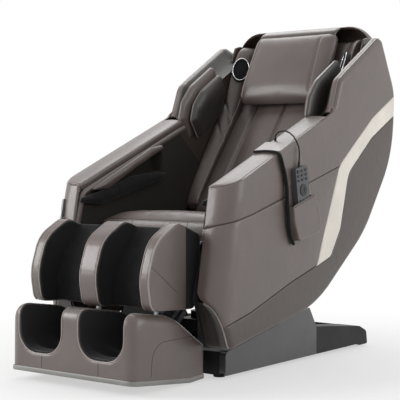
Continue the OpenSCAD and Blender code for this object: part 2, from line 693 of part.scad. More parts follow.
function path_normal(p, i) =
    let(a = p[max(0, i - 1)], b = p[min(len(p) - 1, i + 1)], t = unit(b - a)) [-t[1], t[0]];
// closed outline of a strip that lies to the left of an open path
function strip(p, d) = concat(p, [for (i = [len(p) - 1 : -1 : 0]) p[i] + path_normal(p, i) * d]);

back_cut_z = 1104;
back_path = rounded_path([[282, 303, 0], [480, 442, 500], [689, 720, 400], [703, 960, 260], [703, back_cut_z, 0]]);
cap_path = rounded_path([[703, back_cut_z + shell_gap, 0], [703, 1222, 56], [640, 1222, 0]], 6);

module back_shell() color("#3a3230") mid() side_plate(strip(back_path, 6), -shell_in + flush, shell_in - flush);

module top_cap() color("#4a403d") mid() intersection() {
    side_plate(strip(cap_path, 9), -shell_in + flush, shell_in - flush);
    translate([0, 800, 0]) rotate([90, 0, 0]) linear_extrude(300)
        polygon(rounded([[-shell_in, 1000, 0], [-shell_in, 1222, 52], [shell_in, 1222, 52], [shell_in, 1000, 0]], 6));
}

liner_outline = concat(
    [[front_y(458), 458], [arm_front[0] + 1, arm_front[1] - arm_drop - 1]],
    rounded_path([[arm_front[0] + 2, arm_front[1] - arm_drop - 1, 0], [arm_rear[0], arm_rear[1] - arm_drop - 1, 60],
        [302, 990, 55], [352, 1022, 90], [592, 1166, 0]], 4),
    [[640, 1120], back_at(514, 30), back_at(60, 30), [160, 452]]);
channel_points = [[-322, 570, 4], [-310, 588, 12], [-200, 641, 40], [60, 750, 16], [92, 740, 16], [92, 662, 14],
    [56, 645, 24], [-105, 616, 60], [-250, 582, 40]];
channel_d = half_w - arm_in - 40;

module arm_liner(side) color("#57493f") mid() mirrored(side) difference() {
    union() {
        side_plate(liner_outline, arm_in, arm_in + liner_t);
        side_plate(line(channel_points, -3), arm_in + 1, arm_in + channel_d);
    }
    side_plate(line(channel_points), arm_in - 1, arm_in + channel_d - 3);
}

// upholstered top of an arm, crowned across and rounded off at the front corner
module arm_top(side) color("#8d827d") mid() mirrored(side) {
    length = norm(arm_rear - arm_front) - 33;
    translate([0, arm_front[0], arm_front[1]]) rotate([arm_angle, 0, 0]) skins(
        [for (i = [0 : 8]) let(u = i / 4 - 1) [for (j = [0 : 12]) let(v = j / 12)
            [arm_top_x(u, v, length), v * length, -1.5 - 7 * pow(abs(u), 5) - 3 * pow(1 - v, 8)]]],
        [for (i = [0 : 8]) let(u = i / 4 - 1) [for (j = [0 : 12]) let(v = j / 12)
            [arm_top_x(u, v, length), v * length, -arm_pad_h + touch]]]);
}
// across the arm: the outer front corner is rounded in plan
function arm_top_x(u, v, length) =
    let(s = min(1, v * length / front_corner_r), cut = front_corner_r * (1 - sqrt(max(0, 1 - pow(1 - s, 2)))))
    arm_in + touch + (u + 1) / 2 * (half_w - arm_in - touch - 1 - cut);

upper_bag = rounded([[-330, 606, 5], [-228, 612, 60], [-81, 684, 60], [79, 752, 6], [76, 772, 7], [4, 777, 20],
    [-191, 686, 60], [-296, 634, 8]], 3);
lower_bag = rounded([[-374, 562, 5], [-267, 552, 30], [-105, 592, 60], [66, 634, 8], [98, 655, 6], [56, 664, 16],
    [-105, 648, 60], [-214, 611, 50], [-364, 577, 5]], 3);
arm_bag_t = 24;
module arm_airbags() color("#2c2a2a") mid() both_sides()
    translate([arm_in - touch - arm_bag_t / 2, 0, 0]) rotate([90, 0, 90]) {
        puff(upper_bag, arm_bag_t, 0.12);
        puff(lower_bag, arm_bag_t, 0.12);
    }

// ---------- cushions ----------

across = [-1, -0.985, -0.93, -0.8, -0.5, -0.18, 0.18, 0.5, 0.8, 0.93, 0.985, 1];
// how full a pad is at t, from -1 at one edge to 1 at the other
function full(t) = pow(1 - pow(abs(t), 8), 0.5);

seat_back_gap = 6; // between the seat cushion and the foot of the back
seat_pad_l = back_foot[0] - seat_top_front[0] - seat_back_gap;
// point of the seat cushion at u across and v back, from -1 to 1, at height h over its underside
function seat_at(u, v, h) =
    let(y = seat_top_front[0] + (v + 1) / 2 * seat_pad_l + 4 * (1 - u * u) * v, narrow = min(1, max(0, (v - 0.8) / 0.1)))
    [u * (seat_pad_w / 2 - 5 * (1 - v * v) - 20 * narrow), y, frame_top_z(y) + pan_t + touch + h];

module seat_cushion() color("#6f625d") mid()
    skins([for (u = across) [for (v = across) seat_at(u, v,
            seat_pad_h * (0.5 + 0.5 * full(u) * full(v)) + pad_crown * (1 - u * u) * (1 - v * v))]],
        [for (u = across) [for (v = across) seat_at(u, v, 0)]]);

channel_x = 0.61;
back_across = [-1, -0.985, -0.93, -0.8, -0.66, -channel_x, -0.56, -0.4, -0.2, -0.05, 0, 0.05, 0.2, 0.4, 0.56,
    channel_x, 0.66, 0.8, 0.93, 0.985, 1];
back_len = 514 + 282;
function face_at(s, d) = s < 470 ? back_at(s, d) : s > 558 ? head_at(s - 514, d) :
    let(k = (s - 470) / 88) back_at(s, d) * (1 - k) + head_at(s - 514, d) * k;
function channel(u) = max(0, 1 - min([for (c = [-channel_x, 0, channel_x]) abs(u - c)]) / 0.05);

module back_cushion() color("#6f625d") mid()
    skins([for (u = back_across) [for (v = across)
            let(q = face_at((v + 1) / 2 * back_len, -pad_crown * 0.6 * (1 - u * u) * (1 - v * v)
                + back_pad_h * 0.5 * (1 - full(u) * full(v)) + 8 * channel(u) * full(v)))
            [u * back_pad_w / 2, q[0], q[1]]]],
        [for (u = back_across) [for (v = across)
            let(q = face_at((v + 1) / 2 * back_len, back_pad_h)) [u * back_pad_w / 2, q[0], q[1]]]]);

bolster_x = [back_pad_w / 2 + 2, arm_in - 1];
function bolster_h(t) = 16 + 16 * sin(min(1, t * 2) * 90) + 42 * pow(t, 2);
module back_bolsters() color("#655852") mid() both_sides()
    skins([for (u = [0, 0.12, 0.4, 0.7, 0.92, 1]) [for (t = [0, 0.03, 0.1, 0.25, 0.4, 0.55, 0.7, 0.85, 0.96, 1])
            let(q = face_at(40 + t * (back_len - 46), -bolster_h(t) * pow(u, 0.7) * full(2 * t - 1) + 12 * (1 - full(u))))
            [bolster_x[0] + u * (bolster_x[1] - bolster_x[0]), q[0], q[1]]]],
        [for (u = [0, 0.12, 0.4, 0.7, 0.92, 1]) [for (t = [0, 0.03, 0.1, 0.25, 0.4, 0.55, 0.7, 0.85, 0.96, 1])
            let(q = face_at(40 + t * (back_len - 46), back_pad_h))
            [bolster_x[0] + u * (bolster_x[1] - bolster_x[0]), q[0], q[1]]]]);

module shoulder_airbag(side) color("#3b322f") mid() mirrored(side)
    translate([arm_in - touch - 25, 0, 0]) rotate([90, 0, 90])
        puff(rounded([[236, 782, 14], [182, 862, 26], [200, 930, 60], [256, 994, 80], [398, 1080, 20], [444, 1000, 70],
            [404, 900, 90]], 4), 50, 0.34);

speaker_s = 150; // along the head's face
// each speaker lies on its bolster, whose face rises this much across the bolster's width
speaker_rise = 53.85;
speaker_angle = atan(speaker_rise / (bolster_x[1] - bolster_x[0]));
speaker_share = 0.4615; // of the bolster's width, to the speaker's middle
speaker_x = bolster_x[0] + speaker_share * (bolster_x[1] - bolster_x[0]);
speaker_size = [34, 50];
function ellipse(a, b) = [for (i = [0 : 35]) [a * cos(i * 10), b * sin(i * 10)]];
module speakers() color("#161616") mid() both_sides() on_head(speaker_s, -36.3)
    translate([speaker_x, 0, 0]) rotate([0, -speaker_angle, 0]) difference() {
        linear_extrude(14) polygon(ellipse(speaker_size[0], speaker_size[1]));
        translate([0, 0, 10]) linear_extrude(10) polygon(ellipse(speaker_size[0] - 5, speaker_size[1] - 5));
    }

pillow_hinge = [636, 1216];
module head_pillow() color("#6f625d") mid() {
    on_head(284 - pillow_l / 2, -pad_crown - pillow_h / 2 - 1.2)
        puff(rounded([[-pillow_w / 2, -pillow_l / 2, 44], [pillow_w / 2, -pillow_l / 2, 44],
            [pillow_w / 2 - 14, pillow_l / 2, 30], [14 - pillow_w / 2, pillow_l / 2, 30]], 4), pillow_h, 0.22);
    // flap sewn to the pillow's top edge
    side_plate([head_at(274, -pad_crown - pillow_h / 2 - 4), pillow_hinge + [-3, 1], pillow_hinge + [0, 2.4],
        pillow_hinge + [2.4, 0], pillow_hinge + [1.5, -2], head_at(274, -pad_crown - pillow_h / 2 + 2)], 40 - pillow_w / 2, pillow_w / 2 - 40);
}

// ---------- remote ----------

flap_t = 12;
pocket_d = 26;
flap_in = half_w + touch;
pocket_points = [[-66, 556, 8], [-58, 500, 30], [-30, 434, 16], [52, 452, 30], [112, 466, 20], [98, 530, 40],
    [66, 594, 8]];
flap_outline = rounded([[-70, 736, 4], [-62, 640, 30], [-62, 500, 40], [-32, 422, 18], [52, 440, 60], [122, 456, 24],
    [100, 560, 50], [64, 640, 40], [4, 750, 20], [-24, 756, 4]]);

module remote_pocket() color("#655852") mid() {
    side_plate(flap_outline, flap_in, flap_in + flap_t);
    difference() {
        side_plate(line(pocket_points), flap_in + flap_t - 1, flap_in + flap_t + pocket_d);
        side_plate(line(pocket_points, 4), flap_in + flap_t, flap_in + flap_t + pocket_d - 4);
        // open top edge
        side_plate([[-64, 552], [-60, 700], [80, 700], [64, 586]], flap_in + flap_t, flap_in + flap_t + pocket_d - 4);
    }
    // strap over the arm
    translate([0, arm_front[0], arm_front[1]]) rotate([arm_angle, 0, 0]) {
        block([arm_in - 1, 276, touch], [flap_in + flap_t, 360, touch + 8]);
        block([flap_in, 276, -20], [flap_in + flap_t, 360, touch + 7]);
    }
}

remote_angle = 9;
remote_top = [-14, 684];
module in_remote() translate([flap_in + flap_t + 1, remote_top[0], remote_top[1]]) rotate([remote_angle, 0, 0]) children();
nav_place = [0, -78];
nav_r = 20;
power_place = [-24, -13];
key_travel = 1.5;
module remote_body() color("#55585c") mid() in_remote() {
    difference() {
        rotate([90, 0, 90]) linear_extrude(remote_t)
            polygon(rounded([[-remote_w / 2, -remote_l, 14], [remote_w / 2, -remote_l, 14], [remote_w / 2, 0, 8],
                [-remote_w / 2, 0, 8]]));
        rod_x(nav_place[0], nav_place[1], nav_r + 0.5, remote_t - 6, remote_t + 1);
        rod_x(power_place[0], power_place[1], 6.5, remote_t - 6, remote_t + 1);
    }
    // rows of keys moulded in one mat
    for (r = [0 : 2], c = [0 : 2])
        if (r > 0 || c > 0) block([remote_t - 0.5, -24 + 24 * c - 6, -13 - 15 * r - 4], [remote_t + 0.8, -24 + 24 * c + 6, -13 - 15 * r + 4]);
}
module remote_nav_pad() color("#2b2d30") mid() in_remote() difference() {
    rod_x(nav_place[0], nav_place[1], nav_r, remote_t - 4, remote_t + 2);
    rod_x(nav_place[0], nav_place[1], 9, remote_t + 1, remote_t + 3);
}
module remote_power_key() color("#a33") mid() in_remote() rod_x(power_place[0], power_place[1], 6, remote_t - 4, remote_t + 2);

// points of the lead's route, from the arm to the hand control
lead_route = [[300, -8, 782], [301, -8.5, 790], [309, -10, 799], [324, -12, 804], [342, -13.5, 805], [360, -14, 799],
    [376, -14, 787], [388, -13, 769], [396, -12, 750], [399, -12, 730], [398.8, -12.6, 714], [398.3, -13.6, 700]];
function sweep_rings(p, r, n) = [for (i = [0 : len(p) - 1])
    let(t = unit(p[min(len(p) - 1, i + 1)] - p[max(0, i - 1)]),
        a = unit(cross(t, [0, 1, 0])), b = cross(t, a))
    [for (k = [0 : n - 1]) p[i] + r * (a * cos(360 * k / n) + b * sin(360 * k / n))]];
module remote_cable() color("#101010") mid() rings(sweep_rings(lead_route, lead_d / 2, 8));

module cable_glands() color("#101010") mid() {
    up = unit(lead_route[1] - lead_route[0]);
    rod_between(lead_route[0] - up * 12, lead_route[0] - up * flush, lead_d / 2 + 1.6);
    low = lead_route[len(lead_route) - 1];
    d = unit(low - lead_route[len(lead_route) - 2]);
    rod_between(low + d * flush, low + d * 15, lead_d / 2 + 1.4);
}

// ---------- quick panel on the right arm ----------

panel_angle = 36;
panel_z = 536;
module at_front_corner(angle) translate([0, front_y(0), 0]) rotate([-front_lean, 0, 0])
    translate([-(half_w - front_corner_r), front_corner_r, panel_z / cos(front_lean)]) rotate([0, 0, -angle])
    translate([0, -front_corner_r - 1.5, 0]) children();
module quick_panel() color("#17181a") mid() at_front_corner(panel_angle) difference() {
    translate([-15, -7, -36]) cube([30, 7 - touch, 72]);
    translate([-7, -8, -24]) cube([14, 6.8, 22]);
}
module quick_key() color("#e8e8e8") mid() at_front_corner(panel_angle) translate([-6.6, -8.2, -23.6]) cube([13.2, 5.3, 21.2]);

// ---------- calf unit ----------

calf_half = calf_w / 2;
calf_points = [[-480, 515, 60], [-586, 459, 110], [-626, 345, 150], [-608, 245, 34], [-395, 234, 18], [-362, 300, 40], [-362, 470, 12]];
well_back = rounded_path([[-390, 530, 0], [-612 + calf_well_d, 345, 150], [-604 + calf_well_d, 218, 0]], 5);
well_zone = concat(well_back, [[-720, 218], [-720, 600]]);
// everything behind the wells' walls
hollow_zone = concat([for (i = [0 : len(well_back) - 1]) well_back[i] + path_normal(well_back, i) * casing_wall],
    [[-300, 218], [-300, 530]]);
lining_t = 12;
calf_ridge_in = calf_half - calf_ridge_w;
calf_mid = calf_mid_w / 2;

module calf_cover() color("#857973") mid() {
    cavity = line(calf_points, casing_wall);
    difference() {
        side_plate(line(calf_points), -calf_half, calf_half);
        both_sides() {
            side_plate(well_zone, calf_mid, calf_ridge_in);
            side_plate(cavity, calf_ridge_in + casing_wall, calf_half - casing_wall);
        }
        side_plate(cavity, casing_wall - calf_mid, calf_mid - casing_wall);
        intersection() {
            side_plate(cavity, casing_wall - calf_half, calf_half - casing_wall);
            side_plate(hollow_zone, -calf_half, calf_half);
        }
        // open back
        block([casing_wall - calf_half, -382, 252], [calf_half - casing_wall, -340, 456]);
        // ways out for the slide rods
        both_sides() slide_rod_line(slide_rod_r + 6, 200, 60);
    }
}

module calf_lining() color("#0e0e0e") mid() both_sides() {
    side = 8;
    intersection() {
        side_plate(line(calf_points, 3), calf_mid + touch, calf_ridge_in - touch);
        union() {
            side_plate(strip([for (q = well_back) q + [-touch, 0]], -lining_t), calf_mid, calf_ridge_in);
            intersection() {
                side_plate([for (q = well_zone) q + [-touch, 0]], calf_mid, calf_ridge_in);
                union() {
                    block([calf_mid, -720, 200], [calf_mid + side, -300, 620]);
                    block([calf_ridge_in - side, -720, 200], [calf_ridge_in, -300, 620]);
                }
            }
        }
    }
}

// ---------- slide rods between calf and foot units ----------

slide_x = 124;
slide_ref = [-420, 330];
slide_dir = [sin(sole_tilt), cos(sole_tilt)];
// cylinder on the line of a slide rod, from height z0 over a length
module slide_rod_line(r, z0, length) {
    q = slide_ref + slide_dir * (z0 - slide_ref[1]) / slide_dir[1];
    translate([slide_x, q[0], q[1]]) rotate([-sole_tilt, 0, 0]) cylinder(r = r, h = length);
}

calf_plate_y = [-394, -388];
lug_x = plate_in - 22;
module calf_frame() color("#2b2b2f") mid() difference() {
    union() {
        block([-calf_half + casing_wall + touch, calf_plate_y[0], 272], [calf_half - casing_wall - touch, calf_plate_y[1], 424]);
        both_sides() {
            side_plate([[calf_plate_y[0], 380], [calf_plate_y[1], 372], leg_pivot + [7, -14], leg_pivot + [4, 15],
                [calf_plate_y[0], 424]], lug_x, lug_x + 8);
            rod_x(leg_pivot[0], leg_pivot[1], 16, lug_x - 1, lug_x + 9);
            rod_x(leg_pivot[0], leg_pivot[1], leg_pin_r, lug_x, plate_in + plate_t + 2);
            slide_rod_line(slide_rod_r + 5, 262, 160);
            for (z = [270, 392]) block([slide_x - 10, -418, z], [slide_x + 10, calf_plate_y[0] + 1, z + 18]);
        }
        // lever that the legrest actuator pushes
        for (x = [-13, 9]) clevis([calf_plate_y[0] + 4, leg_eye[1] + 4], leg_eye, 24, legrest_x + x, legrest_x + x + 4);
        rod_x(leg_eye[0], leg_eye[1], actuator_pin_r, legrest_x - 13, legrest_x + 13);
    }
    both_sides() slide_rod_line(slide_rod_r + run_gap, 240, 220);
}

// ---------- foot unit ----------

foot_half = foot_w / 2;
foot_points = [[-706, 34, 12], [-702, 252, 34], [-481, 219, 170], [-356, 118, 14], [-357, 10, 8], [-430, 4, 20]];
sole_z = 103;
foot_heel_y = -478;
foot_well_r = 66;
lining_foot_t = 6;

// straight-sided, round-bottomed prism along a foot well: grown outwards by g
module foot_well(g, heel) translate([foot_well_x, -712, sole_z]) rotate([90 - sole_tilt, 0, 0])
    translate([0, 0, -(heel + 712) / cos(sole_tilt)]) linear_extrude((heel + 712) / cos(sole_tilt) + 40)
        polygon(rounded([[-foot_well_w / 2 - g, 220, 0], [-foot_well_w / 2 - g, -g, foot_well_r + g],
            [foot_well_w / 2 + g, -g, foot_well_r + g], [foot_well_w / 2 + g, 220, 0]], 6));

module foot_cover() color("#857973") mid() difference() {
    union() {
        difference() {
            side_plate(line(foot_points), -foot_half, foot_half);
            side_plate(line(foot_points, casing_wall), casing_wall - foot_half, foot_half - casing_wall);
        }
        both_sides() intersection() {
            side_plate(line(foot_points, 2), 0, foot_half - 2);
            foot_well(lining_foot_t + 6, foot_heel_y + 12);
        }
    }
    both_sides() {
        foot_well(lining_foot_t, foot_heel_y + lining_foot_t);
        slide_rod_line(slide_rod_r + 1, 60, 240);
    }
}

module foot_lining() color("#0e0e0e") mid() both_sides() intersection() {
    side_plate(line(foot_points, 3), 0, foot_half);
    difference() {
        foot_well(lining_foot_t - touch, foot_heel_y + lining_foot_t - touch);
        foot_well(0, foot_heel_y);
    }
}

roller_shaft = [-590, 51];
foot_bar_x = foot_half - 54; // half width of the foot unit's steel bar
module foot_frame() color("#9a9da2") mid() difference() {
    union() {
        block([-foot_bar_x, -462, 17.5], [foot_bar_x, -402, 23.5]);
        both_sides() {
            slide_rod_line(slide_rod_r, 20, 400);
            block([foot_bar_x - 10, -462, 20], [foot_bar_x - 4, -430, 46]);
            clevis([-444, 38], roller_shaft, 22, foot_bar_x - 10, foot_bar_x - 4);
        }
    }
    rod_x(roller_shaft[0], roller_shaft[1], 6 + run_gap, -260, 260);
}

module foot_roller_shaft() color("#c8bfae") mid() {
    rod_x(roller_shaft[0], roller_shaft[1], 6, -foot_bar_x - 8, foot_bar_x + 8);
    both_sides() for (x = [-44, -16, 12, 40])
        translate([foot_well_x + x - 9, roller_shaft[0], roller_shaft[1]]) rotate([0, 90, 0]) rotate_extrude()
            polygon(rounded([[0, 0, 0], [17, 0, 5], [17, 18, 5], [0, 18, 0]], 3));
}

// the origin lies under the middle of the whole chair's footprint
reach_side = flap_in + flap_t + pocket_d;
reach_rear = max([for (q = concat(shell_outline, back_path, cap_path)) q[0]]);
reach_front = min([for (q = line(foot_points)) q[0]]);
module mid() translate([(half_w - reach_side) / 2, -(reach_rear + reach_front) / 2, 0]) children();

base_frame();
pivot_bushes();
base_cover(1);  // base_cover_left
base_cover(-1);  // base_cover_right
base_front_cover();
rear_foot_cover();
rubber_feet();
power_box();
power_switch();
air_pump();
control_box();
recline_actuator_tube();
recline_actuator_rod();
seat_frame();
seat_pan();
track_rails();
front_shell(1);  // front_shell_left
front_shell(-1);  // front_shell_right
side_stripe(1);  // side_stripe_left
side_stripe(-1);  // side_stripe_right
rear_shell(1);  // rear_shell_left
rear_shell(-1);  // rear_shell_right
back_shell();
top_cap();
arm_liner(1);  // arm_liner_left
arm_liner(-1);  // arm_liner_right
arm_top(1);  // arm_top_left
arm_top(-1);  // arm_top_right
arm_airbags();
seat_cushion();
back_cushion();
back_bolsters();
shoulder_airbag(1);  // shoulder_airbag_left
shoulder_airbag(-1);  // shoulder_airbag_right
speakers();
head_pillow();
remote_pocket();
remote_body();
remote_nav_pad();
remote_power_key();
remote_cable();
cable_glands();
quick_panel();
quick_key();
massage_carriage();
massage_arm(1);  // massage_arm_left
massage_arm(-1);  // massage_arm_right
massage_roller(1, 0);  // roller_upper_left
massage_roller(-1, 0);  // roller_upper_right
massage_roller(1, 1);  // roller_lower_left
massage_roller(-1, 1);  // roller_lower_right
legrest_actuator_tube();
legrest_actuator_rod();
calf_frame();
calf_cover();
calf_lining();
foot_cover();
foot_lining();
foot_frame();
foot_roller_shaft();
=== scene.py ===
"""Massage chair: soft forms, finishes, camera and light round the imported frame."""

import math

import bmesh
import bpy
import numpy as np
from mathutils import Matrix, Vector
from mathutils.bvhtree import BVHTree


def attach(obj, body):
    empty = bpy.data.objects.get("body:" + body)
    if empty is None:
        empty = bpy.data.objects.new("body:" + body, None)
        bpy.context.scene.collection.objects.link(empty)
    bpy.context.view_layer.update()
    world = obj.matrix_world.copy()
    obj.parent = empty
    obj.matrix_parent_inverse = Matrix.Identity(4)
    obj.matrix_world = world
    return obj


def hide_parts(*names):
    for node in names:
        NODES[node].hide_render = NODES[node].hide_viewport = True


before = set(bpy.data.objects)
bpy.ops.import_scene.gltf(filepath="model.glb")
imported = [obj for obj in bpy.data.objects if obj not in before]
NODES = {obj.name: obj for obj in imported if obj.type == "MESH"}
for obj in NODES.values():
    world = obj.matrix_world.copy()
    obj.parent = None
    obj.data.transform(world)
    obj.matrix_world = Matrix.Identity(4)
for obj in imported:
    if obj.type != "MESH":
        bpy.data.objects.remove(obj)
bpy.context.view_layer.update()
MID = np.array([-19.15, -0.847, 0.0])  # the chair's middle in the frame, mm
SEAT = "seat_body"
SIDES = ((1, "left"), (-1, "right"))

# main lines of the chair, in millimetres from its middle and in radians
BACK_FOOT = (205, 511)  # side-view place where the back's face starts
BACK_UP = (0.612907, 0.790155)  # up that face, 37.8 degrees from the vertical
HEAD_START = 514  # height up the back's face where it bends upright
HEAD_FOOT = (520.03, 917.14)  # side-view place of that bend
HEAD_UP = (0.443498, 0.896276)  # up the head rest, 26.3 degrees from the vertical
BACK_LENGTH = 796
ARM_FRONT = (-361, 622)  # side-view place of the arm's upper front end
ARM_SLOPE = math.radians(22.66)  # of the arm's top, from the level
FRONT_SLOPE = 0.18895  # how far the shell's front edge leans back with each unit of height
SHELL_INNER = 279  # from the chair's middle to the inner edge of the shell's front
FRONT_FLAT = 28  # flat width of the shell's front
CORNER = 68.0  # plan radius of its front corner
INSIDE_HALF = 309  # half the width between the side shells
BACK_HALF = 308.9  # half the width of the back panel and the top roll


def place(points):
    """Chair millimetres to frame metres."""
    return (np.asarray(points, float) + MID) / 1000.0


def link(name, data):
    ob = bpy.data.objects.new(name, data)
    bpy.context.collection.objects.link(ob)
    return ob


def camera():
    """Long lens at the sitter's left front, level with the arms."""
    data = bpy.data.cameras.new("camera")
    data.lens = 106.9
    data.sensor_width = 36.0
    data.clip_end = 60.0
    dip, turn = math.radians(1.928), math.radians(37.3)
    ob = link("camera", data)
    ob.location = (2.541 + MID[0] / 1000, -3.373, 0.707)
    ob.rotation_euler = (math.pi / 2 - dip, 0.0, turn)
    bpy.context.scene.camera = ob


camera()


# ---------- finishes ----------


def finish_of(name, colour, rough, metallic=0.0, **sockets):
    """Material with its even values set on the shader's own sockets."""
    mat = bpy.data.materials.new(name)
    mat.use_nodes = True
    shader = mat.node_tree.nodes["Principled BSDF"]
    shader.inputs["Base Color"].default_value = (*colour, 1)
    shader.inputs["Roughness"].default_value = rough
    shader.inputs["Metallic"].default_value = metallic
    for key, value in sockets.items():
        shader.inputs[key.replace("_", " ")].default_value = value
    return mat, mat.node_tree, shader


def add(tree, kind, links=(), **values):
    """Node with its values, its inputs linked from other nodes' outputs."""
    node = tree.nodes.new("ShaderNode" + kind)
    for key, value in values.items():
        if hasattr(node, key):
            setattr(node, key, value)
        else:
            node.inputs[key.replace("_", " ")].default_value = value
    for key, out in links:
        tree.links.new(out, node.inputs[key])
    return node


def srgb(r, g, b):
    """Display colour from 0 to 255 as scene light."""
    c = np.array([r, g, b]) / 255.0
    return tuple(np.where(c <= 0.04045, c / 12.92, ((c + 0.055) / 1.055) ** 2.4))


def shade(colour, factor):
    return tuple(min(1, c * factor) for c in colour)


def blend_colours(tree, factor, low, high):
    """Ramp from one colour to another."""
    ramp = add(tree, "ValToRGB", [("Fac", factor)])
    ramp.color_ramp.elements[0].color = (*low, 1)
    ramp.color_ramp.elements[1].color = (*high, 1)
    return ramp


def spread(tree, value, low, high, start=0.3, end=0.7):
    """Value from start to end mapped to low to high."""
    return add(tree, "MapRange", [("Value", value)], From_Min=start, From_Max=end, To_Min=low, To_Max=high)


def bumps(tree, shader, layers):
    """Bump nodes in a chain, one for each (height output, depth in metres)."""
    last = None
    for height, depth in layers:
        bump = add(tree, "Bump", [("Height", height)], Strength=1.0, Distance=depth)
        if last:
            tree.links.new(last.outputs[0], bump.inputs["Normal"])
        last = bump
    tree.links.new(last.outputs[0], shader.inputs["Normal"])


def leather(name, colour, rough=0.36, worn=1.22):
    """Pebbled hide: cells with fine creases, cloudy tone, paler where an edge is rubbed."""
    mat, tree, shader = finish_of(name, colour, rough, Specular_IOR_Level=0.6, Coat_Weight=0.18,
        Coat_Roughness=0.25)
    at = add(tree, "TexCoord").outputs["Object"]
    cells = add(tree, "TexVoronoi", [("Vector", at)], feature="SMOOTH_F1", Scale=620.0)
    crease = add(tree, "TexNoise", [("Vector", at)], Scale=240.0, Detail=4.0)
    cloud = add(tree, "TexNoise", [("Vector", at)], Scale=7.0, Detail=3.0)
    edge = spread(tree, add(tree, "NewGeometry").outputs["Pointiness"], 0.0, 1.0, 0.5, 0.6)
    mixed = spread(tree, cloud.outputs["Fac"], 0.0, 1.0).outputs[0]
    tone = blend_colours(tree, mixed, shade(colour, 0.9), shade(colour, 1.1))
    rubbed = add(tree, "MixRGB", [("Fac", edge.outputs[0]), ("Color1", tone.outputs[0])],
        Color2=(*shade(colour, worn), 1))
    tree.links.new(rubbed.outputs[0], shader.inputs["Base Color"])
    patchy = add(tree, "Math", [(0, crease.outputs["Fac"]), (1, cloud.outputs["Fac"])], operation="ADD")
    gloss = spread(tree, patchy.outputs[0], rough - 0.06, rough + 0.08, 0.7, 1.3)
    tree.links.new(gloss.outputs[0], shader.inputs["Roughness"])
    soft = add(tree, "TexNoise", [("Vector", at)], Scale=34.0, Detail=2.0)
    grain = 0.00012
    layers = [(soft.outputs["Fac"], 0.0009), (crease.outputs["Fac"], grain),
        (cells.outputs["Distance"], grain * 1.6)]
    bumps(tree, shader, layers)
    return mat


def fabric(name, colour, pitch=1.1):
    """Knitted cloth: two crossed ribbings, a nap that catches light at grazing angles, a faint mottle."""
    mat, tree, shader = finish_of(name, colour, 0.85, Sheen_Weight=0.35, Sheen_Roughness=0.4,
        Specular_IOR_Level=0.25)
    shader.inputs["Sheen Tint"].default_value = (0.6, 0.6, 0.62, 1)
    at = add(tree, "TexCoord").outputs["Object"]
    ribs = 50 / pitch
    one = add(tree, "TexWave", [("Vector", at)], bands_direction="DIAGONAL", Scale=ribs, Distortion=0.6)
    two = add(tree, "TexWave", [("Vector", at)], bands_direction="Z", Scale=ribs, Distortion=0.6)
    weave = add(tree, "Math", [(0, one.outputs["Fac"]), (1, two.outputs["Fac"])], operation="MULTIPLY")
    mottle = add(tree, "TexNoise", [("Vector", at)], Scale=30.0, Detail=4.0)
    tone = blend_colours(tree, mottle.outputs["Fac"], shade(colour, 0.75), shade(colour, 1.3))
    tree.links.new(tone.outputs[0], shader.inputs["Base Color"])
    tree.links.new(spread(tree, mottle.outputs["Fac"], 0.78, 0.95).outputs[0], shader.inputs["Roughness"])
    bumps(tree, shader, [(mottle.outputs["Fac"], 0.0008), (weave.outputs[0], 0.0002)])
    return mat


def moulded(name, colour, rough=0.45, metallic=0.0, peel_depth=0.00003, **sockets):
    """Moulded or painted surface: fine orange-peel and a flecked tone."""
    mat, tree, shader = finish_of(name, colour, rough, metallic, **sockets)
    at = add(tree, "TexCoord").outputs["Object"]
    peel = add(tree, "TexNoise", [("Vector", at)], Scale=900.0, Detail=2.0)
    cloud = add(tree, "TexNoise", [("Vector", at)], Scale=9.0, Detail=5.0)
    mixed = spread(tree, cloud.outputs["Fac"], 0.0, 1.0).outputs[0]
    tone = blend_colours(tree, mixed, shade(colour, 0.88), shade(colour, 1.12))
    tree.links.new(tone.outputs[0], shader.inputs["Base Color"])
    gloss = spread(tree, cloud.outputs["Fac"], max(0.05, rough - 0.07), rough + 0.09)
    tree.links.new(gloss.outputs[0], shader.inputs["Roughness"])
    bumps(tree, shader, [(peel.outputs["Fac"], peel_depth)])
    return mat


def brushed(name, colour, rough=0.3):
    """Machined metal: long fine scratches along X and a cloudy roughness."""
    mat, tree, shader = finish_of(name, colour, rough, 1.0, Anisotropic=0.4)
    at = add(tree, "TexCoord").outputs["Object"]
    long = add(tree, "Mapping", [("Vector", at)], Scale=(12.0, 700.0, 700.0))
    line = add(tree, "TexNoise", [("Vector", long.outputs[0])], Scale=1.0, Detail=6.0)
    cloud = add(tree, "TexNoise", [("Vector", at)], Scale=18.0, Detail=3.0)
    tone = blend_colours(tree, cloud.outputs["Fac"], shade(colour, 0.85), colour)
    tree.links.new(tone.outputs[0], shader.inputs["Base Color"])
    tree.links.new(spread(tree, line.outputs["Fac"], rough - 0.1, rough + 0.12).outputs[0],
        shader.inputs["Roughness"])
    bumps(tree, shader, [(line.outputs["Fac"], 0.00002)])
    return mat


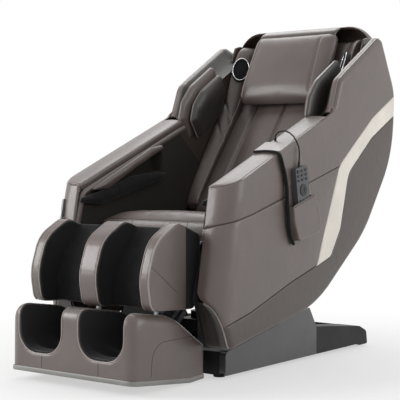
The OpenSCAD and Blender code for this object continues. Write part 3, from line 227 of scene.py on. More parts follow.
HIDE = leather("taupe_hide", srgb(101, 90, 86))
DARK_HIDE = leather("dark_hide", srgb(68, 57, 52))
# black leather; also laid on shadowed faces as painted shade
BLACK_HIDE_AND_SHADE = leather("black_hide_and_painted_shade", srgb(46, 43, 40), rough=0.4)
PALE_HIDE = leather("stripe_hide", srgb(236, 229, 219), rough=0.38, worn=1.02)
CUSHION_HIDE = leather("cushion_hide", srgb(96, 85, 81), rough=0.4)
PIPING = leather("piping_hide", srgb(150, 141, 136), rough=0.35)
# black knitted cloth; also laid along the strap's front edge as painted shade
KNIT_AND_SHADE = fabric("black_knit_and_painted_shade", srgb(20, 20, 21))
LINING = fabric("arm_lining_knit", srgb(50, 47, 43))
WELL_KNIT = fabric("foot_well_knit", srgb(40, 40, 42))
THREAD = fabric("stitch_thread", srgb(166, 156, 149), pitch=0.4)
PAINT = moulded("frame_paint", srgb(38, 38, 42), rough=0.5)
SEAM_DARK = leather("seam_shadow", srgb(38, 33, 31), rough=0.6)
GRILLE = fabric("speaker_cloth", srgb(26, 27, 28), pitch=2.4)
STEEL = brushed("bright_steel", srgb(200, 202, 205))
BRONZE = brushed("bush_bronze", srgb(176, 150, 110), rough=0.4)
GREY_COVER = moulded("metallic_grey", srgb(84, 83, 84), rough=0.32, metallic=0.55, Coat_Weight=0.3)
BLACK_PLASTIC = moulded("black_plastic", srgb(20, 20, 22), rough=0.5, Specular_IOR_Level=0.3)
GLOSS_BLACK = moulded("gloss_black", srgb(14, 14, 16), rough=0.18, Coat_Weight=0.5)
RUBBER = moulded("foot_rubber", srgb(22, 22, 22), rough=0.85, peel_depth=0.0002)
MOTOR = moulded("motor_grey", srgb(78, 80, 85), rough=0.5, metallic=0.2)
CREAM_PLASTIC = moulded("roller_plastic", srgb(204, 196, 178), rough=0.5)
REMOTE_GREY = moulded("remote_grey", srgb(84, 85, 88), rough=0.42, metallic=0.3)
KEY_DARK = moulded("key_plastic", srgb(16, 16, 18), rough=0.4)
KEY_LIGHT = moulded("key_white", srgb(232, 232, 230), rough=0.35)
TRIM_GREY = moulded("trim_grey", srgb(138, 137, 134), rough=0.5, metallic=0.2)
CHROME = brushed("chrome_ring", srgb(222, 224, 226), rough=0.14)


# ---------- paths and grids, in chair millimetres ----------


def unit(v):
    return v / np.maximum(np.linalg.norm(v, axis=-1, keepdims=True), 1e-9)


def arc(a, b, c, r):
    """Points of the arc of radius r that rounds corner b of the path a-b-c."""
    u, w = unit(a - b), unit(c - b)
    half = math.acos(np.clip(u @ w, -1, 1)) / 2
    if r == 0 or half > 1.56:
        return b[None]
    o = b + unit(u + w) * r / math.sin(half)
    s, e = b + u * r / math.tan(half) - o, b + w * r / math.tan(half) - o
    turn = math.pi - 2 * half
    t = np.linspace(0, 1, 11)[:, None]
    return o + (s * np.sin((1 - t) * turn) + e * np.sin(t * turn)) / math.sin(turn)


def rounded(points, closed=False):
    """Path through (a, b, corner radius) points."""
    p, k = [np.array(q[:2], float) for q in points], len(points)
    inner = range(k) if closed else range(1, k - 1)
    arcs = [arc(p[i - 1], p[i], p[(i + 1) % k], points[i][2]) for i in inner]
    return np.concatenate(arcs if closed else [p[0][None], *arcs, p[-1][None]])


def shut(loop):
    """Loop with its first point again at its end."""
    return np.vstack([loop, loop[:1]])


def lengths(path):
    """Distance along a path at each of its points."""
    return np.r_[0, np.cumsum(np.linalg.norm(np.diff(path, axis=0), axis=1))]


def resample(path, t):
    """Points at fractions t of the path's length; a whole number means that many even steps."""
    t = np.linspace(0, 1, t) if isinstance(t, int) else np.asarray(t)
    s = lengths(path)
    return np.stack([np.interp(t * s[-1], s, path[:, k]) for k in range(path.shape[1])], 1)


def stretch(path, a, b):
    """The stretch of a path from the place nearest to a to the place nearest to b."""
    dense = resample(path, 1600)
    i, j = (int(np.argmin(np.linalg.norm(dense - np.array(q, float), axis=1))) for q in (a, b))
    return dense[i : j + 1] if i <= j else dense[j : i + 1][::-1]


def fractions(n, crowd=0.6):
    """n steps from 0 to 1, crowded towards both ends."""
    t = np.linspace(0, 1, n)
    return (1 - crowd) * t + crowd * (1 - np.cos(math.pi * t)) / 2


def patch(bottom, top, left, right, u, v):
    """Grid inside four edges: both ruled surfaces added, less the plane through the corners."""
    b, t, l, r = (resample(p, w) for p, w in ((bottom, u), (top, u), (left, v), (right, v)))
    u, v = u[:, None, None], v[None, :, None]
    corners = (1 - u) * (1 - v) * b[0] + u * (1 - v) * b[-1] + (1 - u) * v * t[0] + u * v * t[-1]
    return (1 - v) * b[:, None] + v * t[:, None] + (1 - u) * l[None] + u * r[None] - corners


def distance_to(points, path):
    """Distance of each point of a grid from a path, taken as straight pieces about 4 mm long."""
    p = resample(path, max(2, int(lengths(path)[-1] / 4)))
    flat = points.reshape(-1, points.shape[-1])
    d = np.full(len(flat), 1e9)
    a, seg = p[:-1], np.diff(p, axis=0)
    size = np.maximum((seg**2).sum(1), 1e-9)
    for k in range(0, len(flat), 4000):
        rel = flat[k : k + 4000, None] - a
        t = np.clip((rel * seg).sum(-1) / size, 0, 1)
        d[k : k + 4000] = np.linalg.norm(rel - t[..., None] * seg, axis=-1).min(1)
    return d.reshape(points.shape[:-1])


def inside(points, outline):
    """Whether points lie in a closed outline: a ray along the first axis crosses an odd number of edges."""
    a, b = outline, np.roll(outline, -1, axis=0)
    x, y = points[..., 0, None], points[..., 1, None]
    crosses = (a[:, 1] > y) != (b[:, 1] > y)
    rise = np.where(b[:, 1] == a[:, 1], 1e-9, b[:, 1] - a[:, 1])
    at = a[:, 0] + (y - a[:, 1]) / rise * (b[:, 0] - a[:, 0])
    return (crosses & (x < at)).sum(-1) % 2 == 1


def roll(d, r, depth=None):
    """How far a rolled edge has turned in at distance d: a quarter circle of radius r, scaled to depth."""
    x = np.clip(1 - d / r, 0, 1)
    return (1 - np.sqrt(1 - x * x)) * (r if depth is None else depth)


def grid_faces(m, n, wrap_v=False, start=0):
    """Four-sided faces of a grid of m by n points, closed round its second way if wrap_v."""
    i, j = np.meshgrid(np.arange(m - 1), np.arange(n if wrap_v else n - 1), indexing="ij")
    k, l = i + 1, (j + 1) % n
    return np.stack([i * n + j, k * n + j, k * n + l, i * n + l], -1).reshape(-1, 4) + start


def mesh_piece(name, points, faces, mat, body=SEAT, sharp=40, stands_for=()):
    """Mesh from chair millimetres, turned so that its closed form faces outwards, riding on a body."""
    p, f = place(points).reshape(-1, 3), np.asarray(faces)
    a, b, c, d = (p[f[:, k]] for k in range(4))
    volume = ((np.cross(b - a, c - a) + np.cross(c - a, d - a)) * a).sum()
    me = bpy.data.meshes.new(name)
    me.from_pydata(p.tolist(), [], (f if volume > 0 else f[:, ::-1]).tolist())
    bm = bmesh.new()
    bm.from_mesh(me)
    bmesh.ops.remove_doubles(bm, verts=bm.verts, dist=1e-5)
    bm.to_mesh(me)
    bm.free()
    me.polygons.foreach_set("use_smooth", np.ones(len(me.polygons), bool))
    me.set_sharp_from_angle(angle=math.radians(sharp))
    me.materials.append(mat)
    ob = link(name, me)
    return settle(ob, body, stands_for)


def settle(ob, body, stands_for=()):
    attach(ob, body)
    if stands_for:
        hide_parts(*stands_for)
    return ob


def walled(front, back):
    """Points and faces of the closed wall between two grids."""
    m, n = front.shape[:2]
    p = np.concatenate([front.reshape(-1, 3), back.reshape(-1, 3)])
    f0, f1 = grid_faces(m, n), grid_faces(m, n, start=m * n)[:, ::-1]
    first, last = np.arange(n), (m - 1) * n + np.arange(n - 2, -1, -1)
    rim = np.concatenate([first, np.arange(1, m) * n + n - 1, last, np.arange(m - 2, 0, -1) * n])
    nxt = np.roll(rim, -1)
    return p, np.concatenate([f0, f1, np.stack([rim, nxt, nxt + m * n, rim + m * n], -1)])


def mirrored(points, side):
    return np.asarray(points) * np.array([side, 1, 1])


def at_x(x, yz):
    """Side-view path at distance x from the chair's middle."""
    return np.column_stack([np.full(len(yz), float(x)), yz])


def beside(x, side=1):
    """Plane of a pad that lies along the chair, x from its middle, with its height towards the middle."""
    return lambda ab, h: np.stack([(x - h) * side, ab[..., 0], ab[..., 1]], -1)


def tube(name, path, radius, mat, body=SEAT, sides=8, side=1, ends=0.6):
    """Round bead along a path, drawn in at both ends; radius may change along it."""
    path = mirrored(path, side)
    t = unit(np.gradient(path, axis=0))
    a = unit(np.cross(t, [0.3, 0.2, 0.93]))  # no path here runs along this direction
    b = np.cross(t, a)
    r = np.broadcast_to(np.asarray(radius, float), (len(path),)).copy()
    r[0] *= ends
    r[-1] *= ends
    turn = np.linspace(0, 2 * math.pi, sides, endpoint=False)
    spoke = a[:, None] * np.cos(turn)[None, :, None] + b[:, None] * np.sin(turn)[None, :, None]
    ring = path[:, None] + spoke * r[:, None, None]
    cap0, cap1 = np.repeat(path[:1], sides, 0)[None], np.repeat(path[-1:], sides, 0)[None]
    rings = np.concatenate([cap0 - t[0] * r[0] * 0.4, ring, cap1 + t[-1] * r[-1] * 0.4])
    return mesh_piece(name, rings, grid_faces(len(rings), sides, wrap_v=True), mat, body, 70)


def thread_line(name, points, normals, body, pitch=8.5, length=6.0, radius=0.75):
    """Stitches: short six-sided beads, one to each pitch of the path, half sunk in the surface."""
    s = lengths(points)
    at = np.arange(pitch / 2, s[-1], pitch)
    c = np.stack([np.interp(at, s, points[:, k]) for k in range(3)], 1)
    n = unit(np.stack([np.interp(at, s, normals[:, k]) for k in range(3)], 1))
    ahead = np.stack([np.interp(np.minimum(at + 1, s[-1]), s, points[:, k]) for k in range(3)], 1)
    behind = np.stack([np.interp(np.maximum(at - 1, 0), s, points[:, k]) for k in range(3)], 1)
    t = unit(ahead - behind)
    w = np.cross(n, t)
    turn = np.linspace(0, 2 * math.pi, 6, endpoint=False)
    rings = ((-1, 0.05, -0.3), (-0.8, radius, 0.05), (0, radius, 0.35), (0.8, radius, 0.05), (1, 0.05, -0.3))
    bead = np.array([[x * length / 2, r * math.cos(q), r * math.sin(q) + lift] for x, r, lift in rings
        for q in turn])
    p = c[:, None] + t[:, None] * bead[None, :, :1] + w[:, None] * bead[None, :, 1:2]
    p = p + n[:, None] * bead[None, :, 2:]
    one = grid_faces(5, 6, wrap_v=True)
    faces = (one[None] + (np.arange(len(c)) * len(bead))[:, None, None]).reshape(-1, 4)
    return mesh_piece(name, p, faces, THREAD, body, 80)


def remote_lead():
    """Lead of the hand control: one open smooth line, 5 mm thick, from the arm's outlet to the control."""
    route = np.array([(300, -8, 782), (301, -8.5, 790), (309, -10, 799), (324, -12, 804),
        (342, -13.5, 805), (360, -14, 799), (376, -14, 787), (388, -13, 769), (396, -12, 750),
        (399, -12, 730), (398.8, -12.6, 714), (398.3, -13.6, 700)])
    data = bpy.data.curves.new("remote_lead", "CURVE")
    data.dimensions = "3D"
    data.bevel_depth = 0.0025
    data.bevel_resolution = 4
    spline = data.splines.new("POLY")
    spline.points.add(len(route) - 1)
    p = place(route)
    spline.points.foreach_set("co", np.column_stack([p, np.ones(len(p))]).ravel())
    data.materials.append(RUBBER)
    ob = link("remote_lead", data)
    settle(ob, SEAT, ("remote_cable",))


remote_lead()


# ---------- side shells ----------

SHELL = rounded([(-361, 598.2, 12), (-432, 262, 30), (-366, 108, 24), (150, 205, 500), (480, 440, 500),
    (690, 720, 400), (712, 960, 180), (597, 1172, 26), (350, 1024, 90), (300, 992, 55), (245, 851.2, 60)],
    closed=True)
UPPER = rounded([(820, 1012, 0), (531, 861, 0), (296, 688, 90), (146, 345, 0)])
LOWER = rounded([(820, 938, 0), (525, 789, 60), (356, 660, 90), (300, 462, 60), (234, 366, 40),
    (138, 337, 0)])
SEAM = rounded([(-399, 185, 0), (-253, 219, 300), (-29, 294, 600), (142, 341, 0)])
REAR_LOW, REAR_HIGH, TOP = (708, 880), (709, 955), (606, 1161)
CHIN, CHIN_FRONT = (-399, 185), (-431, 262)
STRIPE_FOOT, STRIPE_START = (138, 337), (146, 345)
KNEE = tuple(stretch(UPPER, (296, 688), REAR_HIGH)[0])
# the panel's upper edge: beside the arm top, then up the wing and over it
EDGE = rounded([(ARM_FRONT[0], 620.5, 0), (255.4, 877.9, 50), (300, 992, 55), (350, 1024, 90),
    (597, 1172, 26), (712, 960, 0)])
# where the wing's inner flare meets the inner wall, from the top down to the arm
RIM = rounded([(629, 1119, 0), (360, 968, 40), (300, 845, 30), (232, 843, 0)])


def front_y(z):
    """How far forward the shell's leaning front edge is at height z."""
    return ARM_FRONT[0] - (ARM_FRONT[1] - z) * FRONT_SLOPE


def unroll(yz):
    """Side-view place to (distance over the shell's surface from its inner front edge, height)."""
    d = yz[..., 0] - front_y(yz[..., 1])
    round_corner = CORNER * np.arccos(np.clip(1 - d / CORNER, 0, 1))
    return np.stack([FRONT_FLAT + round_corner + np.maximum(0, d - CORNER), yz[..., 1]], -1)


def fold(hz):
    """Unrolled place to space and its outward direction: flat front, round corner, flat along the side."""
    h, z = hz[..., 0], hz[..., 1]
    a = np.clip((h - FRONT_FLAT) / CORNER, 0, math.pi / 2)
    y = front_y(z) + CORNER * (1 - np.cos(a)) + np.maximum(0, h - FRONT_FLAT - CORNER * math.pi / 2)
    rise = 0.19  # the front faces up a little, as it leans
    out = unit(np.stack([np.sin(a), -np.cos(a), rise * np.cos(a)], -1))
    return np.stack([SHELL_INNER + np.minimum(h, FRONT_FLAT) + CORNER * np.sin(a), y, z], -1), out


def shell_panel(name, edges, rolls, side, mat, stands_for=(), steps=(130, 54), bulge=5.0, more=()):
    """Padded panel of a side shell: a patch in the unrolled plane, raised inside, each edge rolled in."""
    hz = patch(*edges, fractions(steps[0], 0.3), fractions(steps[1], 0.75))
    near = [distance_to(hz, e) for e in edges]
    turned = [roll(d, r, k) for d, (r, k) in zip(near, rolls)] + [roll(distance_to(hz, e), r, k)
        for e, r, k in more]
    p, out = fold(hz)
    lift = bulge * (1 - np.exp(-np.minimum.reduce(near) / 60)) - np.maximum.reduce(turned)
    front, back = p + out * lift[..., None], p + out * (lift - 7)[..., None]
    points, faces = walled(mirrored(front, side), mirrored(back, side))
    return mesh_piece(name, points, faces, mat, SEAT, 50, stands_for)


def arm_edge():
    """The panel's upper edge, unrolled: a sloped line round the corner and along the arm, then the wing."""
    h = np.linspace(0, FRONT_FLAT + CORNER * math.pi / 2, 40)
    back_by = CORNER * (1 - np.cos(np.clip((h - FRONT_FLAT) / CORNER, 0, math.pi / 2)))
    z = np.full(len(h), EDGE[0, 1])
    for _ in range(6):  # the front leans, so its place and the edge's height are found in turns
        z = EDGE[0, 1] + (front_y(z) + back_by - ARM_FRONT[0]) * math.tan(ARM_SLOPE)
    return np.concatenate([np.stack([h, z], 1), unroll(stretch(EDGE, (-280, 654.3), TOP))])


def side_shells(side, tag):
    """Front panel in two parts, cream stripe and dark rear panel of one side, each with four edges."""
    loop = shut(SHELL)
    outer_roll, seam_roll = (18, 16), (7, 6)  # width and depth of an edge's roll
    arm_start, arm_high = (0, 490), (0, EDGE[0, 1])
    arm_seam = unroll(rounded([(-381, 501, 0), (-243, 534, 300), (-87, 575, 500), (100, 632, 900),
        KNEE + (0,)]))
    arm_seam = np.concatenate([[arm_start], arm_seam])
    wing = unroll(stretch(EDGE, (262, 895), TOP))
    bottom = np.concatenate([arm_seam, unroll(stretch(UPPER, KNEE, REAR_HIGH))])
    edges = [bottom, arm_edge(), np.array([arm_start, arm_high]), unroll(stretch(loop, REAR_HIGH, TOP))]
    shell_panel("arm_side_" + tag, edges, [seam_roll, (4, 3), (5, 4), outer_roll], side, HIDE,
        ("front_shell_" + tag,), (190, 60), 4, [(wing, *outer_roll)])
    under = unroll(stretch(loop, CHIN, CHIN_FRONT))
    chin = np.concatenate([under, [(12, 274), (0, 290), arm_start]])
    edges = [unroll(SEAM), arm_seam, chin, unroll(stretch(UPPER, STRIPE_START, KNEE))]
    shell_panel("side_panel_" + tag, edges, [seam_roll, seam_roll, (6, 5), (7, 7)], side, HIDE,
        (), (130, 64), more=[(under, *outer_roll)])
    edges = [unroll(stretch(LOWER, STRIPE_FOOT, REAR_LOW)), unroll(stretch(UPPER, STRIPE_START, REAR_HIGH)),
        unroll(np.array([STRIPE_FOOT, STRIPE_START], float)), unroll(stretch(loop, REAR_LOW, REAR_HIGH))]
    shell_panel("stripe_" + tag, edges, [(5, 5), (5, 5), (2, 1), outer_roll], side, PALE_HIDE,
        ("side_stripe_" + tag,), (150, 22), 2)
    chin_low, rear_foot = (-386, 155), (700, 830)
    seam_and_stripe = np.concatenate([SEAM, stretch(LOWER, (136, 337), REAR_LOW)[2:]])
    edges = [unroll(q) for q in (stretch(loop, chin_low, rear_foot), seam_and_stripe,
        stretch(loop, chin_low, CHIN), stretch(loop, rear_foot, REAR_LOW))]
    shell_panel("rear_panel_" + tag, edges, [outer_roll, seam_roll, (18, 14), outer_roll], side, DARK_HIDE,
        ("rear_shell_" + tag,), (170, 50), 3)


def recolour(ob, mat, where):
    """Second material on the faces whose middle, in chair millimetres, passes a test."""
    ob.data.materials.append(mat)
    c = np.empty(len(ob.data.polygons) * 3)
    ob.data.polygons.foreach_get("center", c)
    x, y, z = (c.reshape(-1, 3) * 1000 - MID).T
    index = np.empty(len(ob.data.polygons), int)
    ob.data.polygons.foreach_get("material_index", index)
    ob.data.polygons.foreach_set("material_index", np.where(where(x, y, z), len(ob.data.materials) - 1,
        index))
    ob.data.update()


def shell_band(side, tag):
    """Edge of a side shell, as rings across its outline: a crowned band, then a flare in to the inner wall.

    On the wing the band is 20 mm wide and its flare is dark; over back and chin it is wider and fades
    into the flare.
    """
    loop = shut(SHELL)
    path = resample(np.vstack([stretch(loop, CHIN_FRONT, TOP), stretch(EDGE, TOP, (250, 872))[1:]]), 300)
    t = unit(np.gradient(path, axis=0))
    out = np.stack([np.zeros(len(t)), t[:, 1], -t[:, 0]], 1)[:, None]
    on_shell, faces_out = fold(unroll(path))
    sunk = -14 * faces_out
    outer = on_shell + sunk
    outer[:, 2] = path[:, 1] + sunk[:, 2]
    share = lengths(path) / lengths(path)[-1]
    top = share[int(np.argmin(np.linalg.norm(path - np.array(TOP), axis=1)))]
    wing = np.clip((share - top + 0.03) / 0.05, 0, 1)[:, None]
    rim = at_x(277.5, resample(RIM, np.clip((share - top) / (1 - top), 0, 1)))
    wall = np.column_stack([INSIDE_HALF - 30 * np.clip((-250 - path[:, 0]) / 50, 0, 1), outer[:, 1:]])
    inner = wall * (1 - wing) + rim * wing
    ridge = (outer * 0.6 + wall * 0.4) * (1 - wing) + at_x(340, path) * wing
    a, b = np.linspace(0, 1, 9)[None, :, None], np.linspace(0, 1, 15)[None, 1:, None]
    full = (1 - wing)[:, None]
    crown = 2.5 * np.sin(math.pi * a) + 4 * full * np.sin(math.pi * a / 2)
    sag = 4 * full * np.cos(math.pi * b / 2) - 6 * (1 - full) * np.sin(math.pi * b)
    band = outer[:, None] * (1 - a) + ridge[:, None] * a + out * crown
    flare = ridge[:, None] * (1 - b) + inner[:, None] * b + out * sag
    grid = np.concatenate([band, flare], 1)
    points, faces = walled(mirrored(grid, side), mirrored(grid - out * 7, side))
    ob = mesh_piece("shell_band_" + tag, points, faces, HIDE, SEAT, 50)
    # black hide on the wing's flare; low on the chin the black is painted shade for the shell's shadowed
    # underside
    recolour(ob, BLACK_HIDE_AND_SHADE,
        lambda x, y, z: ((abs(x) < 339) & (z > 835) & (y < 640)) | ((y < -300) & (z < 268)))
    chin, faces_out = fold(unroll(resample(stretch(loop, (-372, 110), (-431, 266)), 50)))
    tube("chin_piping_" + tag, chin - 12 * faces_out, 2.6, PIPING, side=side)


def arm_rim(side, tag):
    """Rolled leather edge inside the arm: a bead 24 mm wide, up the front and back under the arm top."""
    low = 450
    path = resample(rounded([(front_y(low) + 14, low, 0), (-344, 592, 34), (226, 830, 0)]), 110)
    t = unit(np.gradient(path, axis=0))
    n = np.stack([np.zeros(len(t)), -t[:, 1], t[:, 0]], 1)
    w = np.linspace(-1, 1, 13)
    section = np.stack([267.5 + 8 * (1 - np.cos(w * math.pi / 2) ** 0.7), w * 12], 1)
    front = at_x(0, path)[:, None] + n[:, None] * section[None, :, 1:]
    front = front + np.array([1, 0, 0]) * section[None, :, :1]
    back = front.copy()
    back[..., 0] = SHELL_INNER
    points, faces = walled(mirrored(front, side), mirrored(back, side))
    mesh_piece("arm_rim_" + tag, points, faces, HIDE, SEAT, 50)


CHANNEL = rounded([(-322, 570, 4), (-310, 588, 12), (-200, 641, 40), (60, 750, 16), (92, 740, 16),
    (92, 662, 14), (56, 645, 24), (-105, 616, 60), (-250, 582, 40)], closed=True)


def leaning(foot, up, s, d):
    """Side-view place at height s up a leaning face and depth d behind it."""
    return np.stack([foot[0] + up[0] * s + up[1] * d, foot[1] + up[1] * s - up[0] * d], -1)


def back_at(s, d):
    return leaning(BACK_FOOT, BACK_UP, s, d)


def back_face(s, d):
    """Place on the back's face at height s and depth d, bent upright over 88 mm at the shoulders."""
    high = leaning(HEAD_FOOT, HEAD_UP, s - HEAD_START, d)
    k = np.clip((s - 470) / 88, 0, 1)[..., None]
    return back_at(s, d) * (1 - k) + high * k


def arm_lining(side, tag):
    """Inner wall of arm and wing: a patch of cloth, sunk 46 mm into the channel over a soft 16 mm lip."""
    low_front, high_front, low_rear, high_rear = (-388, 462), (-359, 596), (640, 1104), (629, 1119)
    top = rounded([(-350, 600, 0), (226, 840, 20), (300, 845, 30), (360, 968, 40), high_rear + (0,)])
    top = np.concatenate([[high_front], top])
    bottom = rounded([low_front + (0,), (160, 456, 40), (*back_at(60, 30), 30),
        (*back_at(HEAD_START, 30), 60), low_rear + (0,)])
    ends = [np.array(q, float) for q in ((low_front, high_front), (low_rear, high_rear))]
    yz = patch(bottom, top, *ends, np.linspace(0, 1, 230), np.linspace(0, 1, 80))
    deep = np.clip(distance_to(yz, shut(CHANNEL)) / 16, 0, 1) * inside(yz, CHANNEL)
    x = 275.2 + 46 * deep * deep * (3 - 2 * deep)
    front = np.concatenate([x[..., None], yz], -1)
    back = front + np.array([3.2, 0, 0])
    points, faces = walled(mirrored(front, side), mirrored(back, side))
    ob = mesh_piece("arm_lining_" + tag, points, faces, LINING, SEAT, 60,
        ("arm_liner_" + tag,))
    recolour(ob, DARK_HIDE, lambda x, y, z: z + 0.9 * (y - 120) > 880)


def arm_top(side, tag):
    """Padded top of an arm: a rounded slab up the slope, its outer front corner cut to the shell's plan."""
    length, width, thick = 618.0, 93.0, 21.7
    v = np.concatenate([[0, 1.5, 5, 10, 16], np.linspace(26, length - 12, 90), length - np.array([6, 2, 0])])
    r = CORNER - 4
    cut = r * (1 - np.sqrt(np.maximum(0, 1 - np.clip(1 - v / r, 0, 1) ** 2)))
    section = rounded([(0, -thick, 3), (width, -thick, 3), (width, 0, 5), (0, 0, 11)], closed=True)
    section = resample(shut(section), np.linspace(0, 1, 81))[:-1]
    across, up = section[:, :1], section[:, 1:]
    x = across[None] * (1 - cut / width)[:, None, None]
    crown = 3.5 * np.sin(np.clip(across / width, 0, 1) * math.pi) * (up > -12)
    end = roll(v, 6, 4)[:, None, None] + roll(length - v, 9, 7)[:, None, None]
    high = np.clip((up + thick) / thick, 0, 1)
    h = (up + crown)[None] - end * high[None]
    along = v[:, None, None] + 4
    y = ARM_FRONT[0] + along * math.cos(ARM_SLOPE) - h * math.sin(ARM_SLOPE)
    z = ARM_FRONT[1] + along * math.sin(ARM_SLOPE) + h * math.cos(ARM_SLOPE)
    grid = np.concatenate([x + 275.6, y, z], -1)
    caps = [np.repeat(grid[k].mean(0)[None], grid.shape[1], 0)[None] for k in (0, -1)]
    grid = mirrored(np.concatenate([caps[0], grid, caps[1]]), side)
    faces = grid_faces(len(grid), grid.shape[1], wrap_v=True)
    ob = mesh_piece("arm_pad_" + tag, grid, faces, HIDE, SEAT, 60, ("arm_top_" + tag,))


def chin_gusset(side, tag):
    """Black cloth that closes the shell's hollow beside the leg rest."""
    loop = rounded([(-418, 300, 10), (-424, 264, 10), (-392, 188, 20), (-362, 120, 10), (-330, 124, 20),
        (-330, 430, 20), (-372, 440, 10)], closed=True)
    corners = [(-364, 122), (-332, 128), (-332, 428), (-372, 438)]
    lens_pad("chin_gusset_" + tag, loop, corners, beside(269, side), (6, 6), 14, KNIT_AND_SHADE, SEAT,
        steps=(30, 60))


def draw_shells():
    for side, tag in SIDES:
        side_shells(side, tag)
        shell_band(side, tag)
        arm_rim(side, tag)
        arm_lining(side, tag)
        arm_top(side, tag)
        chin_gusset(side, tag)


# ---------- soft forms ----------


def coords(ob):
    """A piece's points in chair millimetres."""
    p = np.empty(len(ob.data.vertices) * 3)
    ob.data.vertices.foreach_get("co", p)
    return p.reshape(-1, 3) * 1000 - MID


def outward(ob):
    n = np.empty(len(ob.data.vertices) * 3)
    ob.data.vertices.foreach_get("normal", n)
    return n.reshape(-1, 3)


def move_points(ob, p):
    ob.data.vertices.foreach_set("co", place(p).ravel())
    ob.data.update()


def bake(ob):
    """Applies a piece's modifiers to its mesh."""
    mesh = bpy.data.meshes.new_from_object(ob.evaluated_get(bpy.context.evaluated_depsgraph_get()))
    ob.modifiers.clear()
    ob.data = mesh


def refine(ob):
    sub = ob.modifiers.new("fine", "SUBSURF")
    sub.levels = sub.render_levels = 1
    bake(ob)


def even_cells(ob, cell):
    """Voxel remesh to cells of a size in millimetres, not yet applied."""
    cells = ob.modifiers.new("cells", "REMESH")
    cells.mode = "VOXEL"
    cells.voxel_size = cell / 1000
    cells.use_smooth_shade = True


def eased(ob, passes):
    """Corners and creases eased by smoothing in a few passes."""
    ease = ob.modifiers.new("ease", "SMOOTH")
    ease.factor = 0.5
    ease.iterations = passes
    bake(ob)


def soft_copy(name, node, mat, body, cell, passes):
    """A node's solid as one even skin: loose triangles merged, remeshed to small cells, corners eased."""
    bm = bmesh.new()
    bm.from_mesh(NODES[node].data)
    bmesh.ops.remove_doubles(bm, verts=bm.verts, dist=1e-5)
    me = bpy.data.meshes.new(name)
    bm.to_mesh(me)
    bm.free()
    ob = link(name, me)
    even_cells(ob, cell)
    eased(ob, passes)
    ob.data.materials.clear()
    ob.data.materials.append(mat)
    return settle(ob, body, (node,))


def plump(ob, cap, free):
    """Air in a cloth skin, 20 steps, no gravity: each point's travel is kept under cap, scaled by free."""
    start = coords(ob)
    cloth = ob.modifiers.new("air", "CLOTH")
    s = cloth.settings
    s.quality, s.use_pressure, s.uniform_pressure_force = 4, True, 4.0
    s.effector_weights.gravity = 0
    s.tension_stiffness = s.compression_stiffness = 12
    s.bending_stiffness = 5.0
    cloth.collision_settings.use_collision = False
    cloth.point_cache.frame_start, cloth.point_cache.frame_end = 1, 20
    for f in range(1, 21):
        bpy.context.scene.frame_set(f)
    done = ob.evaluated_get(bpy.context.evaluated_depsgraph_get()).to_mesh()
    p = np.empty(len(done.vertices) * 3)
    done.vertices.foreach_get("co", p)
    step = p.reshape(-1, 3) * 1000 - MID - start
    ob.modifiers.remove(cloth)
    bpy.context.scene.frame_set(1)
    size = np.linalg.norm(step, axis=1, keepdims=True)
    step *= np.minimum(1, cap / np.maximum(size, 1e-6))
    move_points(ob, start + step * free[:, None])


def groove(ob, line, depth, width):
    """Sewn channel: the skin sinks along a line by depth, fading as a bell over width."""
    p = coords(ob)
    d = distance_to(p, line)
    move_points(ob, p - outward(ob) * (depth * np.exp(-((d / width) ** 2)))[:, None])


def landed(ob, path, way, start=60.0):
    """Where a path dropped along a direction lands on a piece's skin, and which way the skin faces."""
    bpy.context.view_layer.update()
    tree = BVHTree.FromObject(ob, bpy.context.evaluated_depsgraph_get())
    way = Vector(way).normalized()
    hits = [tree.ray_cast(Vector(q) - way * start / 1000, way) for q in place(path)]
    hits = [h for h in hits if h[0] is not None]
    return np.array([h[0] for h in hits]) * 1000 - MID, np.array([h[1] for h in hits])


def evened(path, times=3):
    """Path with its points averaged with their neighbours, its ends kept."""
    for _ in range(times):
        path = np.vstack([path[:1], (path[:-2] + 2 * path[1:-1] + path[2:]) / 4, path[-1:]])
    return path


def sixes(path):
    """Path in steps of about 6 mm."""
    path = np.asarray(path, float)
    return resample(path, max(8, int(lengths(path)[-1] / 6)))


def piping(name, ob, path, way, radius, body=SEAT):
    """Corded edge: a round bead laid on a piece's skin along a path dropped onto it."""
    p, n = landed(ob, sixes(path), way)
    return tube(name, evened(p) + unit(evened(n)) * radius * 0.3, radius, PIPING, body)


def stitched(name, ob, path, way, body=SEAT, **sizes):
    """Row of stitches laid on a piece's skin along a path dropped onto it."""
    p, n = landed(ob, sixes(path), way)
    return thread_line(name, evened(p), n, body, **sizes)


def seam(name, path, body, side=1):
    """Thin dark line sunk in a skin, where two pieces of hide are sewn edge to edge."""
    return tube(name, path, 0.9, SEAM_DARK, body, 6, side)


def ripple(p, seed, scale):
    """Soft unevenness: six slow sine waves in directions drawn from the seed."""
    rng = np.random.default_rng(seed)
    total = np.zeros(p.shape[:-1])
    for _ in range(6):
        way = unit(rng.normal(size=3))
        total += np.sin(p @ way * (2 * math.pi / (scale * rng.uniform(0.6, 1.5))) + rng.uniform(0, 6.3))
    return total / 6


def quarters(loop, corners):
    """A closed loop cut at four corners into the bottom, top, left and right edges of a patch."""
    dense = resample(shut(loop), 2001)[:-1]
    k = [int(np.argmin(np.linalg.norm(dense - np.array(c, float), axis=1))) for c in corners]
    dense = np.roll(dense, -k[0], axis=0)
    k = [(i - k[0]) % 2000 for i in k]
    if k[1] > k[2]:
        dense = np.vstack([dense[:1], dense[:0:-1]])
        k = [0] + [2000 - i for i in k[1:]]
    ring = shut(dense)
    return ring[: k[1] + 1], ring[k[2] : k[3] + 1][::-1], ring[k[3] :][::-1], ring[k[1] : k[2] + 1]


